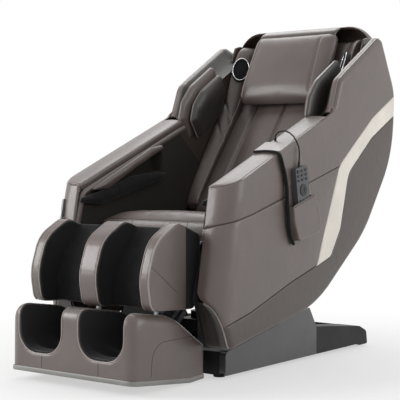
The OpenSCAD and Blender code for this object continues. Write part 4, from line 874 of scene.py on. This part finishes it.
def lens_pad(name, loop, corners, space, heights, r, mat, body=SEAT, stands_for=(),
        steps=(80, 40), rim=1.5, crown=0.0, uneven=0.0):
    """Stuffed pad: two skins over a closed loop, rising from its seam as a quarter ellipse of depth r."""
    ab = patch(*quarters(loop, corners), fractions(steps[0], 0.6), fractions(steps[1], 0.6))
    d = distance_to(ab, shut(loop))
    rise = np.sqrt(1 - (1 - np.clip(d / r, 0, 1)) ** 2)
    low, high = ab.reshape(-1, 2).min(0), ab.reshape(-1, 2).max(0)
    # 1 in the middle, 0 at the rim
    middle = np.prod(1 - ((ab - (low + high) / 2) / (high - low) * 2) ** 2, axis=-1)
    swell = crown * middle + uneven * ripple(np.concatenate([ab, ab[..., :1]], -1), len(name), 70) * rise
    front = space(ab, rim + (heights[0] - rim) * rise + swell)
    back = space(ab, -rim - (heights[1] - rim) * rise)
    points, faces = walled(front, back)
    return mesh_piece(name, points, faces, mat, body, 60, stands_for)


draw_shells()


# ---------- cushions ----------


# from the sitter into the head rest and the back
HEAD_WAY, BACK_WAY = (np.array([0, up[1], -up[0]]) for up in (HEAD_UP, BACK_UP))


def edge_full(t):
    """How full a pad is at t, from -1 at one edge to 1 at the other."""
    return np.sqrt(np.maximum(0, 1 - np.abs(t) ** 8))


def seat_cushion():
    """Seat: 74 mm over the pan, an eighth power to its edges, crowned 12 mm as a product of parabolas."""
    u, v = np.meshgrid(fractions(90, 0.75) * 2 - 1, fractions(80, 0.75) * 2 - 1, indexing="ij")
    y = -263 + (v + 1) / 2 * 462 + 4 * (1 - u * u) * v
    x = u * (268 - 5 * (1 - v * v) - 20 * np.clip((v - 0.8) / 0.1, 0, 1))
    base = 459.4 - 0.1 * (y + 330)
    h = 74 * (0.45 + 0.55 * edge_full(u) * edge_full(v)) + 12 * (1 - u * u) * (1 - v * v)
    points, faces = walled(np.stack([x, y, base + h], -1), np.stack([x, y, base], -1))
    return mesh_piece("seat_pad", points, faces, CUSHION_HIDE, SEAT, 60,
        ("seat_cushion",))


def back_cushion():
    """Back: 40 mm deep, edges rolled in over 24 mm, three channels up its length, crowned between them."""
    half, channels = 220, (-134, 0, 134)
    across = np.unique(np.concatenate([np.linspace(-half, half, 90), fractions(40, 1) * 2 * half - half,
        channels]))
    x, s = np.meshgrid(across, fractions(170, 0.3) * BACK_LENGTH, indexing="ij")
    near = np.minimum(half - np.abs(x), np.minimum(s, BACK_LENGTH - s))
    u, v = x / half, s / BACK_LENGTH * 2 - 1
    d = -7.2 * (1 - u * u) * (1 - v * v) + roll(near, 24, 20)
    gap = np.minimum.reduce([np.abs(x - c) for c in channels])
    fade = np.clip(near / 30, 0, 1)
    d += fade * (9 * np.exp(-((gap / 6.5) ** 2)) - 4.0 * np.sin(np.clip(gap / 60, 0, 1) * math.pi / 2) ** 2)
    front = np.concatenate([x[..., None], back_face(s, d)], -1)
    rear = np.concatenate([x[..., None], back_face(s, np.full(s.shape, 40.0))], -1)
    points, faces = walled(front, rear)
    return mesh_piece("back_pad", points, faces, CUSHION_HIDE, SEAT, 60,
        ("back_cushion",))


def bolster(side, tag):
    """Side bolster: rises 16 to 74 mm over its length, with two slanting seams and a rolled inner edge."""
    u, t = np.meshgrid(fractions(26, 0.8), fractions(150, 0.4), indexing="ij")
    h = 16 + 16 * np.sin(np.minimum(1, t * 2) * math.pi / 2) + 42 * t**2
    full = edge_full(2 * t - 1)
    s = 40 + t * 750
    d = -h * u**0.6 * full + 12 * (1 - edge_full(u)) + 10 * (1 - full)
    for s0, s1 in ((330, 420), (420, 520)):
        d += 5 * np.exp(-(((s - s0 - (s1 - s0) * u) * 0.5 / 5.0) ** 2)) * np.clip(u / 0.1, 0, 1)
    x = 222 + u * 51.5
    front = np.concatenate([x[..., None], back_face(s, d)], -1)
    back = np.concatenate([x[..., None], back_face(s, np.full(s.shape, 39.0))], -1)
    points, faces = walled(mirrored(front, side), mirrored(back, side))
    stands_for = ("back_bolsters",) if side > 0 else ()
    return mesh_piece("bolster_" + tag, points, faces, CUSHION_HIDE, SEAT, 60, stands_for)


def on_head(ab, h):
    """Pillow's plane: across the chair and up the head rest from its middle, height h towards the sitter."""
    middle, clear = 645, 50.2  # up the back's face, and off it
    return np.concatenate([ab[..., :1], back_face(middle + ab[..., 1], -clear - h)], -1)


def head_pillow():
    """Pillow: 400 by 306 mm, sewn all round, 28 mm deep in front with a 14 mm crown and 36 mm behind."""
    loop = rounded([(-200, -153, 44), (200, -153, 44), (186, 153, 30), (-186, 153, 30)], closed=True)
    corners = [(-190, -143), (190, -143), (180, 146), (-180, 146)]
    return lens_pad("head_pad", loop, corners, on_head, (28, 36), 70, CUSHION_HIDE, "head_pillow",
        ("head_pillow",), (120, 96), 4, 14)


def pillow_trim():
    """Corded seam down one side of the pillow's front and a twin-needle seam down the other."""
    up, high = np.linspace(-140, 136, 60), 70
    taper = 0.045 * (up + 140)
    left = on_head(np.stack([-172 + taper, up], -1), high)
    piping("pillow_piping", head_pad, left, HEAD_WAY, 2.6, "head_pillow")
    for k, x in enumerate((136, 146)):
        line = on_head(np.stack([x - taper, up], -1), high)
        stitched("pillow_stitch_%d" % k, head_pad, line, HEAD_WAY, "head_pillow")


def pillow_flap():
    """Sewn flap from the pillow's top to its hinge: a slab 7 mm thick, swollen 7 mm along its middle."""
    path = resample(rounded([(586, 1168, 0), (600, 1196, 20), (637, 1218.5, 0)]), 24)
    t = unit(np.gradient(path, axis=0))
    n = np.stack([-t[:, 1], t[:, 0]], 1)
    half = 175
    x = fractions(60, 0.7) * 2 * half - half
    full = np.sqrt(np.maximum(0, 1 - (np.abs(x) / half) ** 30))[:, None]
    wide = np.broadcast_to(x[:, None, None], (60, 24, 1))
    top = full * (3.5 + 7 * np.sin(np.linspace(0, math.pi, 24))[None])
    under = np.broadcast_to(-3.5 * full, (60, 24))
    skins = [np.concatenate([wide, path[None] + n[None] * h[..., None]], -1) for h in (top, under)]
    points, faces = walled(*skins)
    mesh_piece("pillow_flap", points, faces, DARK_HIDE, "head_pillow", 60)


def aired(ob, cell, cap, free, passes):
    """Remeshed to even cells, blown up where free lets it, as stuffing does, and its cover eased."""
    even_cells(ob, cell)
    bake(ob)
    plump(ob, cap, free(coords(ob)))
    eased(ob, passes)
    refine(ob)
    ob.data.polygons.foreach_set("use_smooth", np.ones(len(ob.data.polygons), bool))


def seat_free(p):
    """Seat's top swells, its sides and underside keep their place."""
    return np.clip((p[:, 2] - 506) / 20, 0, 1) * np.clip((262 - np.abs(p[:, 0])) / 30, 0, 1)


def pillow_free(p):
    """Pillow's front swells, its back keeps its place."""
    middle = on_head(np.array([0.0, 0.0]), 0)
    return np.clip((middle - p) @ HEAD_WAY / 12, 0, 1)


seat_pad = seat_cushion()
aired(seat_pad, 6, 9, seat_free, 6)
back_pad = back_cushion()
bolsters = [bolster(side, tag) for side, tag in SIDES]
head_pad = head_pillow()
aired(head_pad, 5, 4, pillow_free, 24)


def before_seat(x, z):
    """Path in front of the seat at height z, to be dropped onto its front face."""
    return np.column_stack([x, np.full(len(x), -420.0), np.broadcast_to(z, len(x))])


def before_back(x, s):
    """Path off the back's face from heights s, to be dropped onto it."""
    return np.column_stack([np.full(len(s), float(x)), back_face(s, np.full(len(s), -60.0))])


def seat_and_back_seams():
    """Seam along the seat's front edge and down its front, bolster piping, stitches beside the channels."""
    x = np.linspace(-236, 236, 60)
    forward = (0, 1, 0)
    stitched("seat_front_stitch", seat_pad, before_seat(x, 499.0), forward)
    seam("seat_front_seam", evened(landed(seat_pad, before_seat(x, 504.0), forward, 0)[0]), SEAT)
    for (side, tag), pad in zip(SIDES, bolsters):
        down = before_seat(np.full(20, 120.0 * side), np.linspace(502, 462, 20))
        seam("seat_down_seam_" + tag, landed(seat_pad, down, forward)[0], SEAT)
        piping("bolster_piping_" + tag, pad, before_back(226 * side, np.linspace(60, 560, 90)), BACK_WAY,
            1.8)
        for x0 in (134 - 9, 134 + 9):
            row = before_back(x0 * side, np.linspace(40, 540, 90))
            stitched("back_stitch_%d_%s" % (x0, tag), back_pad, row, BACK_WAY, pitch=7.5, length=5.0,
                radius=0.6)


seat_and_back_seams()
groove(head_pad, on_head(np.array([(141.0, -146.0), (128.0, 140.0)]), 37), 3.5, 7)
pillow_trim()
pillow_flap()


# ---------- air cushions ----------

UPPER_BAG = rounded([(-326, 600, 5), (-228, 606, 60), (-81, 680, 60), (76, 748, 6), (74, 764, 7),
    (4, 752, 20), (-191, 664, 60), (-292, 618, 8)], closed=True)
LOWER_BAG = rounded([(-374, 562, 5), (-267, 552, 30), (-105, 592, 60), (66, 634, 8), (98, 655, 6),
    (56, 664, 16), (-105, 648, 60), (-214, 611, 50), (-364, 577, 5)], closed=True)
SHOULDER = rounded([(236, 782, 14), (182, 862, 26), (200, 930, 60), (256, 994, 80), (398, 1080, 20),
    (444, 1000, 70), (404, 900, 90)], closed=True)
SHOULDER_CORNERS = [(240, 785), (424, 950), (396, 1076), (188, 890)]


def forearm_pads(side, tag):
    """Two slim cushions for the forearm, sewn to the channel's upper and lower lip."""
    plane = beside(262.7, side)
    stands_for = ("arm_airbags",) if side > 0 else ()
    corners = [(-324, 603), (76, 752), (72, 764), (-294, 616)]
    upper = lens_pad("forearm_pad_upper_" + tag, UPPER_BAG, corners, plane, (12, 11), 22, HIDE, SEAT,
        stands_for, (90, 22), 1.2, 2, 1.0)
    corners = [(-372, 563), (92, 652), (58, 664), (-364, 576)]
    lower = lens_pad("forearm_pad_lower_" + tag, LOWER_BAG, corners, plane, (12, 11), 26, KNIT_AND_SHADE, SEAT,
        (), (100, 26), 1.2, 2, 1.0)


def shoulder_pads(side, tag):
    """Double cushion for the shoulder: one outline twice, the inner one smaller, further back and piped."""
    corners = np.array(SHOULDER_CORNERS, float)
    back_by, wall = np.array([20, 0]), 286
    outer = lens_pad("shoulder_pad_outer_" + tag, SHOULDER + back_by, corners + back_by, beside(wall, side),
        (16, 12), 34, HIDE, SEAT, ("shoulder_airbag_" + tag,), (60, 60), 1.5, 4)
    # painted shade: the outer pad's outward face, towards the wing, is coloured black for the shadow it lies
    # in
    recolour(outer, BLACK_HIDE_AND_SHADE, lambda x, y, z: abs(x) > wall + 1.5)
    middle = SHOULDER.mean(0)

    def shrunk(q):
        return middle + np.array([44, -12]) + (np.array(q) - middle) * 0.86

    inner = lens_pad("shoulder_pad_inner_" + tag, shrunk(SHOULDER), shrunk(corners), beside(258, side),
        (18, 12), 46, BLACK_HIDE_AND_SHADE, SEAT, (), (60, 60), 1.5, 6)
    dense = resample(shut(shrunk(SHOULDER)), 1200)
    i, j = (int(np.argmin(np.linalg.norm(dense - shrunk(q), axis=1))) for q in ((250, 780), (392, 1080)))
    front = dense[i:j] if i < j else np.vstack([dense[i:], dense[:j]])
    tube("shoulder_piping_" + tag, at_x(258, front[::8]), 2.4, PIPING, side=side)


for side, tag in SIDES:
    forearm_pads(side, tag)
    shoulder_pads(side, tag)


# ---------- leg rest ----------

calf = soft_copy("calf_skin", "calf_cover", HIDE, "calf_unit", 4.5, 5)
soft_copy("calf_wells", "calf_lining", KNIT_AND_SHADE, "calf_unit", 4.5, 8)
foot = soft_copy("foot_skin", "foot_cover", HIDE, "foot_unit", 4.5, 6)
foot_wells = soft_copy("foot_wells", "foot_lining", WELL_KNIT, "foot_unit", 4, 6)
pocket = soft_copy("pocket_skin", "remote_pocket", HIDE, SEAT, 3, 4)

CALF = rounded([(-480, 515, 60), (-586, 459, 110), (-626, 345, 150), (-608, 245, 34), (-395, 234, 18),
    (-362, 300, 40), (-362, 470, 12)], closed=True)
# from the middle: outer side, outer ridge's inner edge, mid ridge
CALF_HALF, CALF_RIDGE, CALF_MID = 250.0, 214.0, 35.0
FOOT_HALF, FOOT_WELL = 260.0, 128.0  # from the middle: outer side, middle of a well
WELL_HALF = 95  # half the width of a foot well's mouth


def calf_trim():
    """Corded edges on every ridge, a slanting seam on each side, and each side's rear part behind it
    coloured black.
    """
    edge = resample(stretch(shut(CALF), (-452, 513), (-600, 240)), 90)[6:]
    edge = edge - unit(edge - CALF.mean(0)) * 1.6
    slant = np.array([(-606, 382), (-560, 350), (-520, 321), (-476, 290)], float)
    ridges = ((CALF_HALF - 1.6, 2.8), (CALF_RIDGE + 1.2, 2.0), (CALF_MID - 1.2, 2.0))
    for side, tag in SIDES:
        for k, (x, radius) in enumerate(ridges):
            name = "calf_piping_%d_%s" % (k, tag)
            tube(name, at_x(x, edge), radius, PIPING, "calf_unit", side=side)
        seam("calf_side_seam_" + tag, at_x(CALF_HALF + 0.2, slant), "calf_unit", side)
    # each side's rear part, behind the slanting seam, coloured black
    recolour(calf, KNIT_AND_SHADE, lambda x, y, z: (abs(x) > CALF_HALF - 3) & (y > -436))


def round_foot():
    """Foot unit's outer edges rolled over: the top by 32 mm, the front by 26 mm."""
    p = coords(foot)
    from_side = FOOT_HALF - np.abs(p[:, 0])
    p[:, 2] -= roll(from_side, 46, 32) * np.clip((p[:, 2] - 110) / 90, 0, 1)
    p[:, 1] += roll(from_side, 40, 26) * np.clip((-600 - p[:, 1]) / 60, 0, 1)
    move_points(foot, p)


def foot_trim(side, tag):
    """Corded edges round a foot well, and the seams below and beside it."""
    front, slot = -760.0, "shell_leather"
    mouth = resample(rounded([(-WELL_HALF, 238, 0), (-WELL_HALF, 94, 75), (WELL_HALF, 94, 75),
        (WELL_HALF, 238, 0)]), 90)
    mouth = np.column_stack([FOOT_WELL * side + mouth[:, 0], np.full(len(mouth), front), mouth[:, 1]])
    rim, n = landed(foot, mouth, (0, 1, 0))
    tube("foot_piping_" + tag, evened(rim) + n * 0.8, 2.2, PIPING, "foot_unit")
    for k, x in enumerate((-WELL_HALF, WELL_HALF)):
        top = at_x(FOOT_WELL * side + x, np.column_stack([np.linspace(-690, -500, 40), np.full(40, 330.0)]))
        line, n = landed(foot, top, (0, 0, -1), 90)
        tube("foot_top_piping_%d_%s" % (k, tag), evened(line) + n * 0.6, 2.0, PIPING, "foot_unit")
    down = at_x((FOOT_WELL - 8) * side, np.column_stack([np.full(12, front), np.linspace(90, 50, 12)]))
    seam("foot_front_seam_" + tag, landed(foot, down, (0, 1, 0))[0], "foot_unit")
    bend = at_x(330 * side, resample(rounded([(-622, 50, 0), (-612, 150, 60), (-366, 152, 0)]), 40))
    seam("foot_side_seam_" + tag, landed(foot, bend, (-side, 0, 0), 90)[0], "foot_unit")


def foot_strip():
    """Grey strip 15 mm high round the foot unit's lower edge, bulging 1.6 mm."""
    x, front, rear = FOOT_HALF + 0.8, -707, -360
    plan = resample(rounded([(x, rear, 0), (x, front, 26), (-x, front, 26), (-x, rear, 0)]), 200)
    under = np.interp(plan[:, 1], [-706, -430, -357], [33, 5, 9])
    t = unit(np.gradient(plan, axis=0))
    n = np.column_stack([-t[:, 1], t[:, 0]])
    n *= np.sign((n * (plan - np.array([0, -530]))).sum(1))[:, None]
    v = np.linspace(0, 1, 9)
    bulge = 1.6 * np.sin(math.pi * v) ** 0.5
    height = (under[:, None] + 15 * v)[..., None]
    skin = [np.concatenate([plan[:, None] + n[:, None] * (k + bulge)[None, :, None], height], -1)
        for k in (0, -3)]
    points, faces = walled(*skin)
    mesh_piece("foot_strip", points, faces, TRIM_GREY, "foot_unit", 50)


def well_folds():
    """Loose cloth in the foot wells: 5 mm folds, a sine bent by a second one, running down to the toes."""
    p = coords(foot_wells)
    n = outward(foot_wells)
    fold = np.sin(p[:, 1] / 17 + 2.2 * np.sin(p[:, 0] / 41 + 1.3) + p[:, 2] / 29)
    fade = np.clip((p[:, 1] + 694) / 30, 0, 1) * np.clip((236 - p[:, 2]) / 40, 0, 1)
    inward = np.clip(1 - np.abs(np.abs(p[:, 0]) - FOOT_WELL) / 84, 0, 1) ** 0.5
    move_points(foot_wells, p + n * (5.0 * fold * fade * inward * (n[:, 2] > -0.2))[:, None])


calf_trim()
round_foot()
for side, tag in SIDES:
    foot_trim(side, tag)
foot_strip()
well_folds()


# ---------- hand control and its pocket ----------


def strap_edge_painted_shade():
    """Black bead of painted shade along the strap's thick front edge: over the arm top and down the front of
    the flap.
    """
    route = [(278, -108.5, 735), (330, -108.5, 737), (372, -108, 734), (385, -105, 724), (388, -98, 700),
        (388, -82, 662), (388, -70, 610), (388, -66, 540), (388, -62, 490), (388, -46, 446), (388, -28, 424)]
    path = evened(resample(np.array(route, float), 120), 12)
    radius = np.interp(np.arange(120), [0, 40, 60, 119], [4.0, 4.5, 6.5, 6.0])
    # black bead standing for the shade on the strap's front edge
    tube("strap_edge_painted_shade", path, radius, KNIT_AND_SHADE, SEAT, 10)


def strap_cheek():
    """Stuffed side of the strap, beside the hand control."""
    loop = rounded([(-104, 722, 6), (-30, 757, 8), (10, 746, 10), (26, 690, 30), (-64, 600, 20),
        (-82, 664, 30)], closed=True)
    corners = [(-100, 716), (-62, 612), (24, 690), (-32, 754)]
    lens_pad("strap_cheek", loop, corners, lambda ab, h: np.stack([384.5 + h, ab[..., 0], ab[..., 1]], -1),
        (4.5, 4), 8, HIDE, SEAT, (), (30, 30), 1.2)


def pocket_trim():
    """Stitches round the pocket's edge and a rolled hem over its mouth."""
    outside, inwards = 430, (-1, 0, 0)
    rim = rounded([(-63, 548, 0), (-54, 500, 26), (-27, 440, 14), (50, 457, 30), (106, 470, 18),
        (92, 530, 36), (63, 586, 0)])
    stitched("pocket_stitch", pocket, at_x(outside, resample(rim, 90)), inwards, pitch=6.0, length=4.2,
        radius=0.6)
    mouth = resample(np.array([(-65, 550), (66, 587)], float), 30)
    line, n = landed(pocket, at_x(outside, mouth), inwards)
    tube("pocket_mouth", evened(line) + n * 0.5, 2.2, DARK_HIDE)


strap_edge_painted_shade()
strap_cheek()
pocket_trim()


def in_remote(local):
    """Hand control's own axes, tilted 9 degrees, to the chair's."""
    c, k = math.cos(math.radians(9)), math.sin(math.radians(9))
    x, y, z = np.asarray(local, float).T
    return np.stack([388.3 + x, -14 + y * c - z * k, 684 + y * k + z * c], -1)


def remote_keys():
    """Black caps, squarish as a root of sine and cosine, on the moulded keys and in two more rows below."""
    turn = np.linspace(0, 2 * math.pi, 24, endpoint=False)
    wide, high = (np.sign(w) * np.abs(w) ** 0.5 for w in (np.cos(turn), np.sin(turn)))
    # height and share of the full size
    layers = ((20.2, 0.01), (20.2, 1.0), (21.6, 1.0), (22.3, 0.82), (22.3, 0.01))
    cells = [(24 * c - 24, -13 - 15 * r, 6.6, 4.6) for r in range(3) for c in range(3) if r + c]
    cells += [(x, z, 5.2, 4.2) for z in (-112, -126) for x in (-22, 0, 22)]
    for k, (y, z, a, b) in enumerate(cells):
        rings = [in_remote(np.stack([np.full(24, h), y + a * g * wide, z + b * g * high], 1))
            for h, g in layers]
        mesh_piece("key_cap_%d" % k, np.array(rings), grid_faces(5, 24, wrap_v=True), KEY_DARK, SEAT, 40)


def remote_case():
    """Dark plastic on the hand control's back and sides, behind its grey face."""
    body = NODES["remote_body"]
    body.data.materials.append(KEY_DARK)
    side = len(body.data.materials) - 1
    for face in body.data.polygons:
        if face.normal.x < 0.5:
            face.material_index = side


remote_case()
remote_keys()


def speaker_trim(side, tag):
    """Bright ring and domed woven grille of a speaker, tilted with the bolster it lies on."""
    lean = math.radians(46)
    c = np.array([246.0, *back_face(np.array(664.0), np.array(-36.3))])
    n = -HEAD_WAY
    up = np.array([0, *HEAD_UP])
    across = np.array([math.cos(lean), 0, 0]) + n * math.sin(lean)
    high = np.array([-math.sin(lean), 0, 0]) + n * math.cos(lean)

    def oval(turn, a, b):
        return across * (a * np.cos(turn))[..., None] + up * (b * np.sin(turn))[..., None]

    turn = np.linspace(0, 2 * math.pi, 73)
    tube("speaker_ring_" + tag, c + oval(turn, 32.0, 48.0) + high * 14.2, 2.0, CHROME, SEAT, 10, side, 1.0)
    r = np.linspace(0.001, 1, 12)[:, None]
    dome = c + oval(turn[None, :-1], 28.5 * r, 44.5 * r) + high * (10.6 + 3.0 * (1 - r**2))[..., None]
    skirt = dome[-1:] - high * 0.8
    close = np.repeat((skirt[0].mean(0))[None], 72, 0)[None]
    grid = mirrored(np.concatenate([dome, skirt, close]), side)
    faces = grid_faces(14, 72, wrap_v=True)
    mesh_piece("speaker_grille_" + tag, grid, faces, GRILLE, SEAT, 50)


for side, tag in SIDES:
    speaker_trim(side, tag)


# ---------- back and top ----------


def across_path(path, x, h):
    """Grid over the chair's width: a side-view path, moved along its own outward direction by h."""
    t = unit(np.gradient(path, axis=0))
    n = np.stack([t[:, 1], -t[:, 0]], 1)
    wide = np.broadcast_to(x[:, None, None], (len(x), len(path), 1))
    return np.concatenate([wide, path[None] + n[None] * h[..., None]], -1)


def back_panel():
    """Sheet over the back between the side shells, crowned 3 mm, edges rolled in, three sewn channels."""
    path = resample(rounded([(282, 303, 0), (480, 442, 500), (689, 720, 400), (703, 960, 260),
        (703, 1104, 0)]), 120)
    x = fractions(70, 0.6) * 2 * BACK_HALF - BACK_HALF
    s = lengths(path)
    near = np.minimum((BACK_HALF - np.abs(x))[:, None], np.minimum(s, s[-1] - s)[None])
    h = 3 * (1 - (x / BACK_HALF) ** 2)[:, None] - roll(near, 14, 7)
    for c in (-150, 150):
        h -= 2.5 * np.exp(-(((x - c) / 4) ** 2))[:, None]
    h -= 2.5 * np.exp(-(((s - 560) / 4) ** 2))[None]
    points, faces = walled(across_path(path, x, h), across_path(path, x, np.full(h.shape, -6.0)))
    mesh_piece("back_panel", points, faces, DARK_HIDE, SEAT, 50, ("back_shell",))


def top_roll():
    """Stuffed roll over the top, its front drooping at both ends round a 105 mm radius."""
    path = resample(rounded([(703, 1104.6, 0), (703, 1220, 52), (636, 1220, 0)]), 60)
    x = fractions(90, 0.8) * 2 * BACK_HALF - BACK_HALF
    ends = np.sqrt(np.maximum(0, 1 - (np.abs(x) / BACK_HALF) ** 26))
    full = edge_full(np.linspace(-1, 1, 60))[None] * ends[:, None]
    radius = 105
    low = np.sqrt(radius**2 - np.maximum(0, np.abs(x) - (BACK_HALF - radius)) ** 2) - radius
    drop = low[:, None] * np.clip((np.linspace(0, 1, 60) - 0.2) / 0.5, 0, 1)[None]
    skins = [across_path(path, x, depth * full) for depth in (3.5, -11)]
    for skin in skins:
        skin[..., 2] += drop
    points, faces = walled(*skins)
    ob = mesh_piece("top_roll", points, faces, DARK_HIDE, SEAT, 60, ("top_cap",))


def roll_end(side, tag):
    """Stuffed cheek that closes the top roll's end."""
    loop = rounded([(566, 1108, 20), (592, 1164, 12), (640, 1178, 60), (702, 1130, 60), (706, 962, 30),
        (640, 1010, 40)], closed=True)
    corners = [(572, 1112), (700, 968), (700, 1120), (594, 1160)]
    lens_pad("roll_end_" + tag, loop, corners, beside(298, side), (8, 9), 30, DARK_HIDE, SEAT,
        (), (50, 40), 1.5, 2)


back_panel()
top_roll()
for side, tag in SIDES:
    roll_end(side, tag)


# ---------- frame parts ----------

PARTS = {"base_frame": PAINT, "seat_frame": PAINT, "seat_pan": PAINT, "calf_frame": PAINT,
    "pivot_bushes": BRONZE, "track_rails": STEEL, "foot_frame": STEEL, "legrest_actuator_rod": STEEL,
    "recline_actuator_rod": STEEL, "legrest_actuator_tube": MOTOR, "recline_actuator_tube": MOTOR,
    "massage_carriage": MOTOR, "massage_arm_left": MOTOR, "massage_arm_right": MOTOR, "control_box": MOTOR,
    "base_cover_left": GREY_COVER, "base_cover_right": GREY_COVER, "base_front_cover": BLACK_PLASTIC,
    "rear_foot_cover": BLACK_PLASTIC, "power_box": BLACK_PLASTIC, "power_switch": BLACK_PLASTIC,
    "air_pump": BLACK_PLASTIC, "speakers": BLACK_PLASTIC, "quick_panel": GLOSS_BLACK, "quick_key": KEY_LIGHT,
    "rubber_feet": RUBBER, "foot_roller_shaft": CREAM_PLASTIC, "roller_upper_left": CREAM_PLASTIC,
    "roller_upper_right": CREAM_PLASTIC, "roller_lower_left": CREAM_PLASTIC,
    "roller_lower_right": CREAM_PLASTIC, "remote_body": REMOTE_GREY, "remote_nav_pad": KEY_DARK,
    "remote_power_key": KEY_DARK, "cable_glands": RUBBER}
for node, mat in PARTS.items():
    for used in NODES[node].material_slots:
        used.material = mat


# ---------- studio ----------


def background_rays(tree):
    """1 for rays that show the background: the camera's, and those the object mirrors or lets through."""
    eye = add(tree, "LightPath")
    two = add(tree, "Math", [(0, eye.outputs["Is Camera Ray"]), (1, eye.outputs["Is Glossy Ray"])],
        operation="MAXIMUM")
    three = add(tree, "Math", [(0, two.outputs[0]), (1, eye.outputs["Is Transmission Ray"])],
        operation="MAXIMUM")
    return three.outputs[0]


def backdrop():
    """World: even dim light on the object, white where it is looked at."""
    world = bpy.data.worlds.new("studio")
    bpy.context.scene.world = world
    world.use_nodes = True
    tree = world.node_tree
    light = tree.nodes["Background"]
    light.inputs[0].default_value = (1, 1, 1, 1)
    light.inputs[1].default_value = 0.45
    white = add(tree, "Background")
    white.inputs[0].default_value = (1, 1, 1, 1)
    both = add(tree, "MixShader", [(0, background_rays(tree)), (1, light.outputs[0]), (2, white.outputs[0])])
    tree.links.new(both.outputs[0], tree.nodes["World Output"].inputs[0])


def floor():
    """White floor that takes the object's shadow near it and turns to pure white further out."""
    half, z = 12, -0.0005
    me = bpy.data.meshes.new("floor")
    me.from_pydata([(x * half, y * half, z) for x, y in ((-1, -1), (1, -1), (1, 1), (-1, 1))], [],
        [(0, 1, 2, 3)])
    ob = link("floor", me)
    mat, tree, shader = finish_of("floor_white", (0.9, 0.9, 0.9), 0.9)
    away = add(tree, "VectorMath", [(0, add(tree, "TexCoord").outputs["Object"])], operation="LENGTH")
    far = spread(tree, away.outputs["Value"], 0.55, 1.0, 0.7, 1.5)
    look = add(tree, "Math", [(0, background_rays(tree)), (1, far.outputs[0])], operation="MULTIPLY")
    white = add(tree, "Emission")
    both = add(tree, "MixShader", [(0, look.outputs[0]), (1, shader.outputs[0]), (2, white.outputs[0])])
    tree.links.new(both.outputs[0], tree.nodes["Material Output"].inputs[0])
    me.materials.append(mat)


def lamp(name, place_at, turned, size, power):
    """Flat square or oblong lamp; turned holds its angles in degrees."""
    data = bpy.data.lights.new(name, "AREA")
    data.shape = "RECTANGLE"
    data.size, data.size_y = size
    data.energy = power
    ob = link(name, data)
    ob.location = place_at
    ob.rotation_euler = [math.radians(a) for a in turned]


bpy.context.scene.view_settings.view_transform = "Standard"
backdrop()
floor()
lamp("key", (-2.4, -2.6, 1.7), (68, 0, -42), (1.8, 1.8), 70)
lamp("side", (3.4, 1.2, 1.8), (65, 0, 108), (2.0, 2.0), 34)
lamp("top", (-1.0, 1.6, 3.0), (-28, -18, 0), (2.4, 2.0), 34)
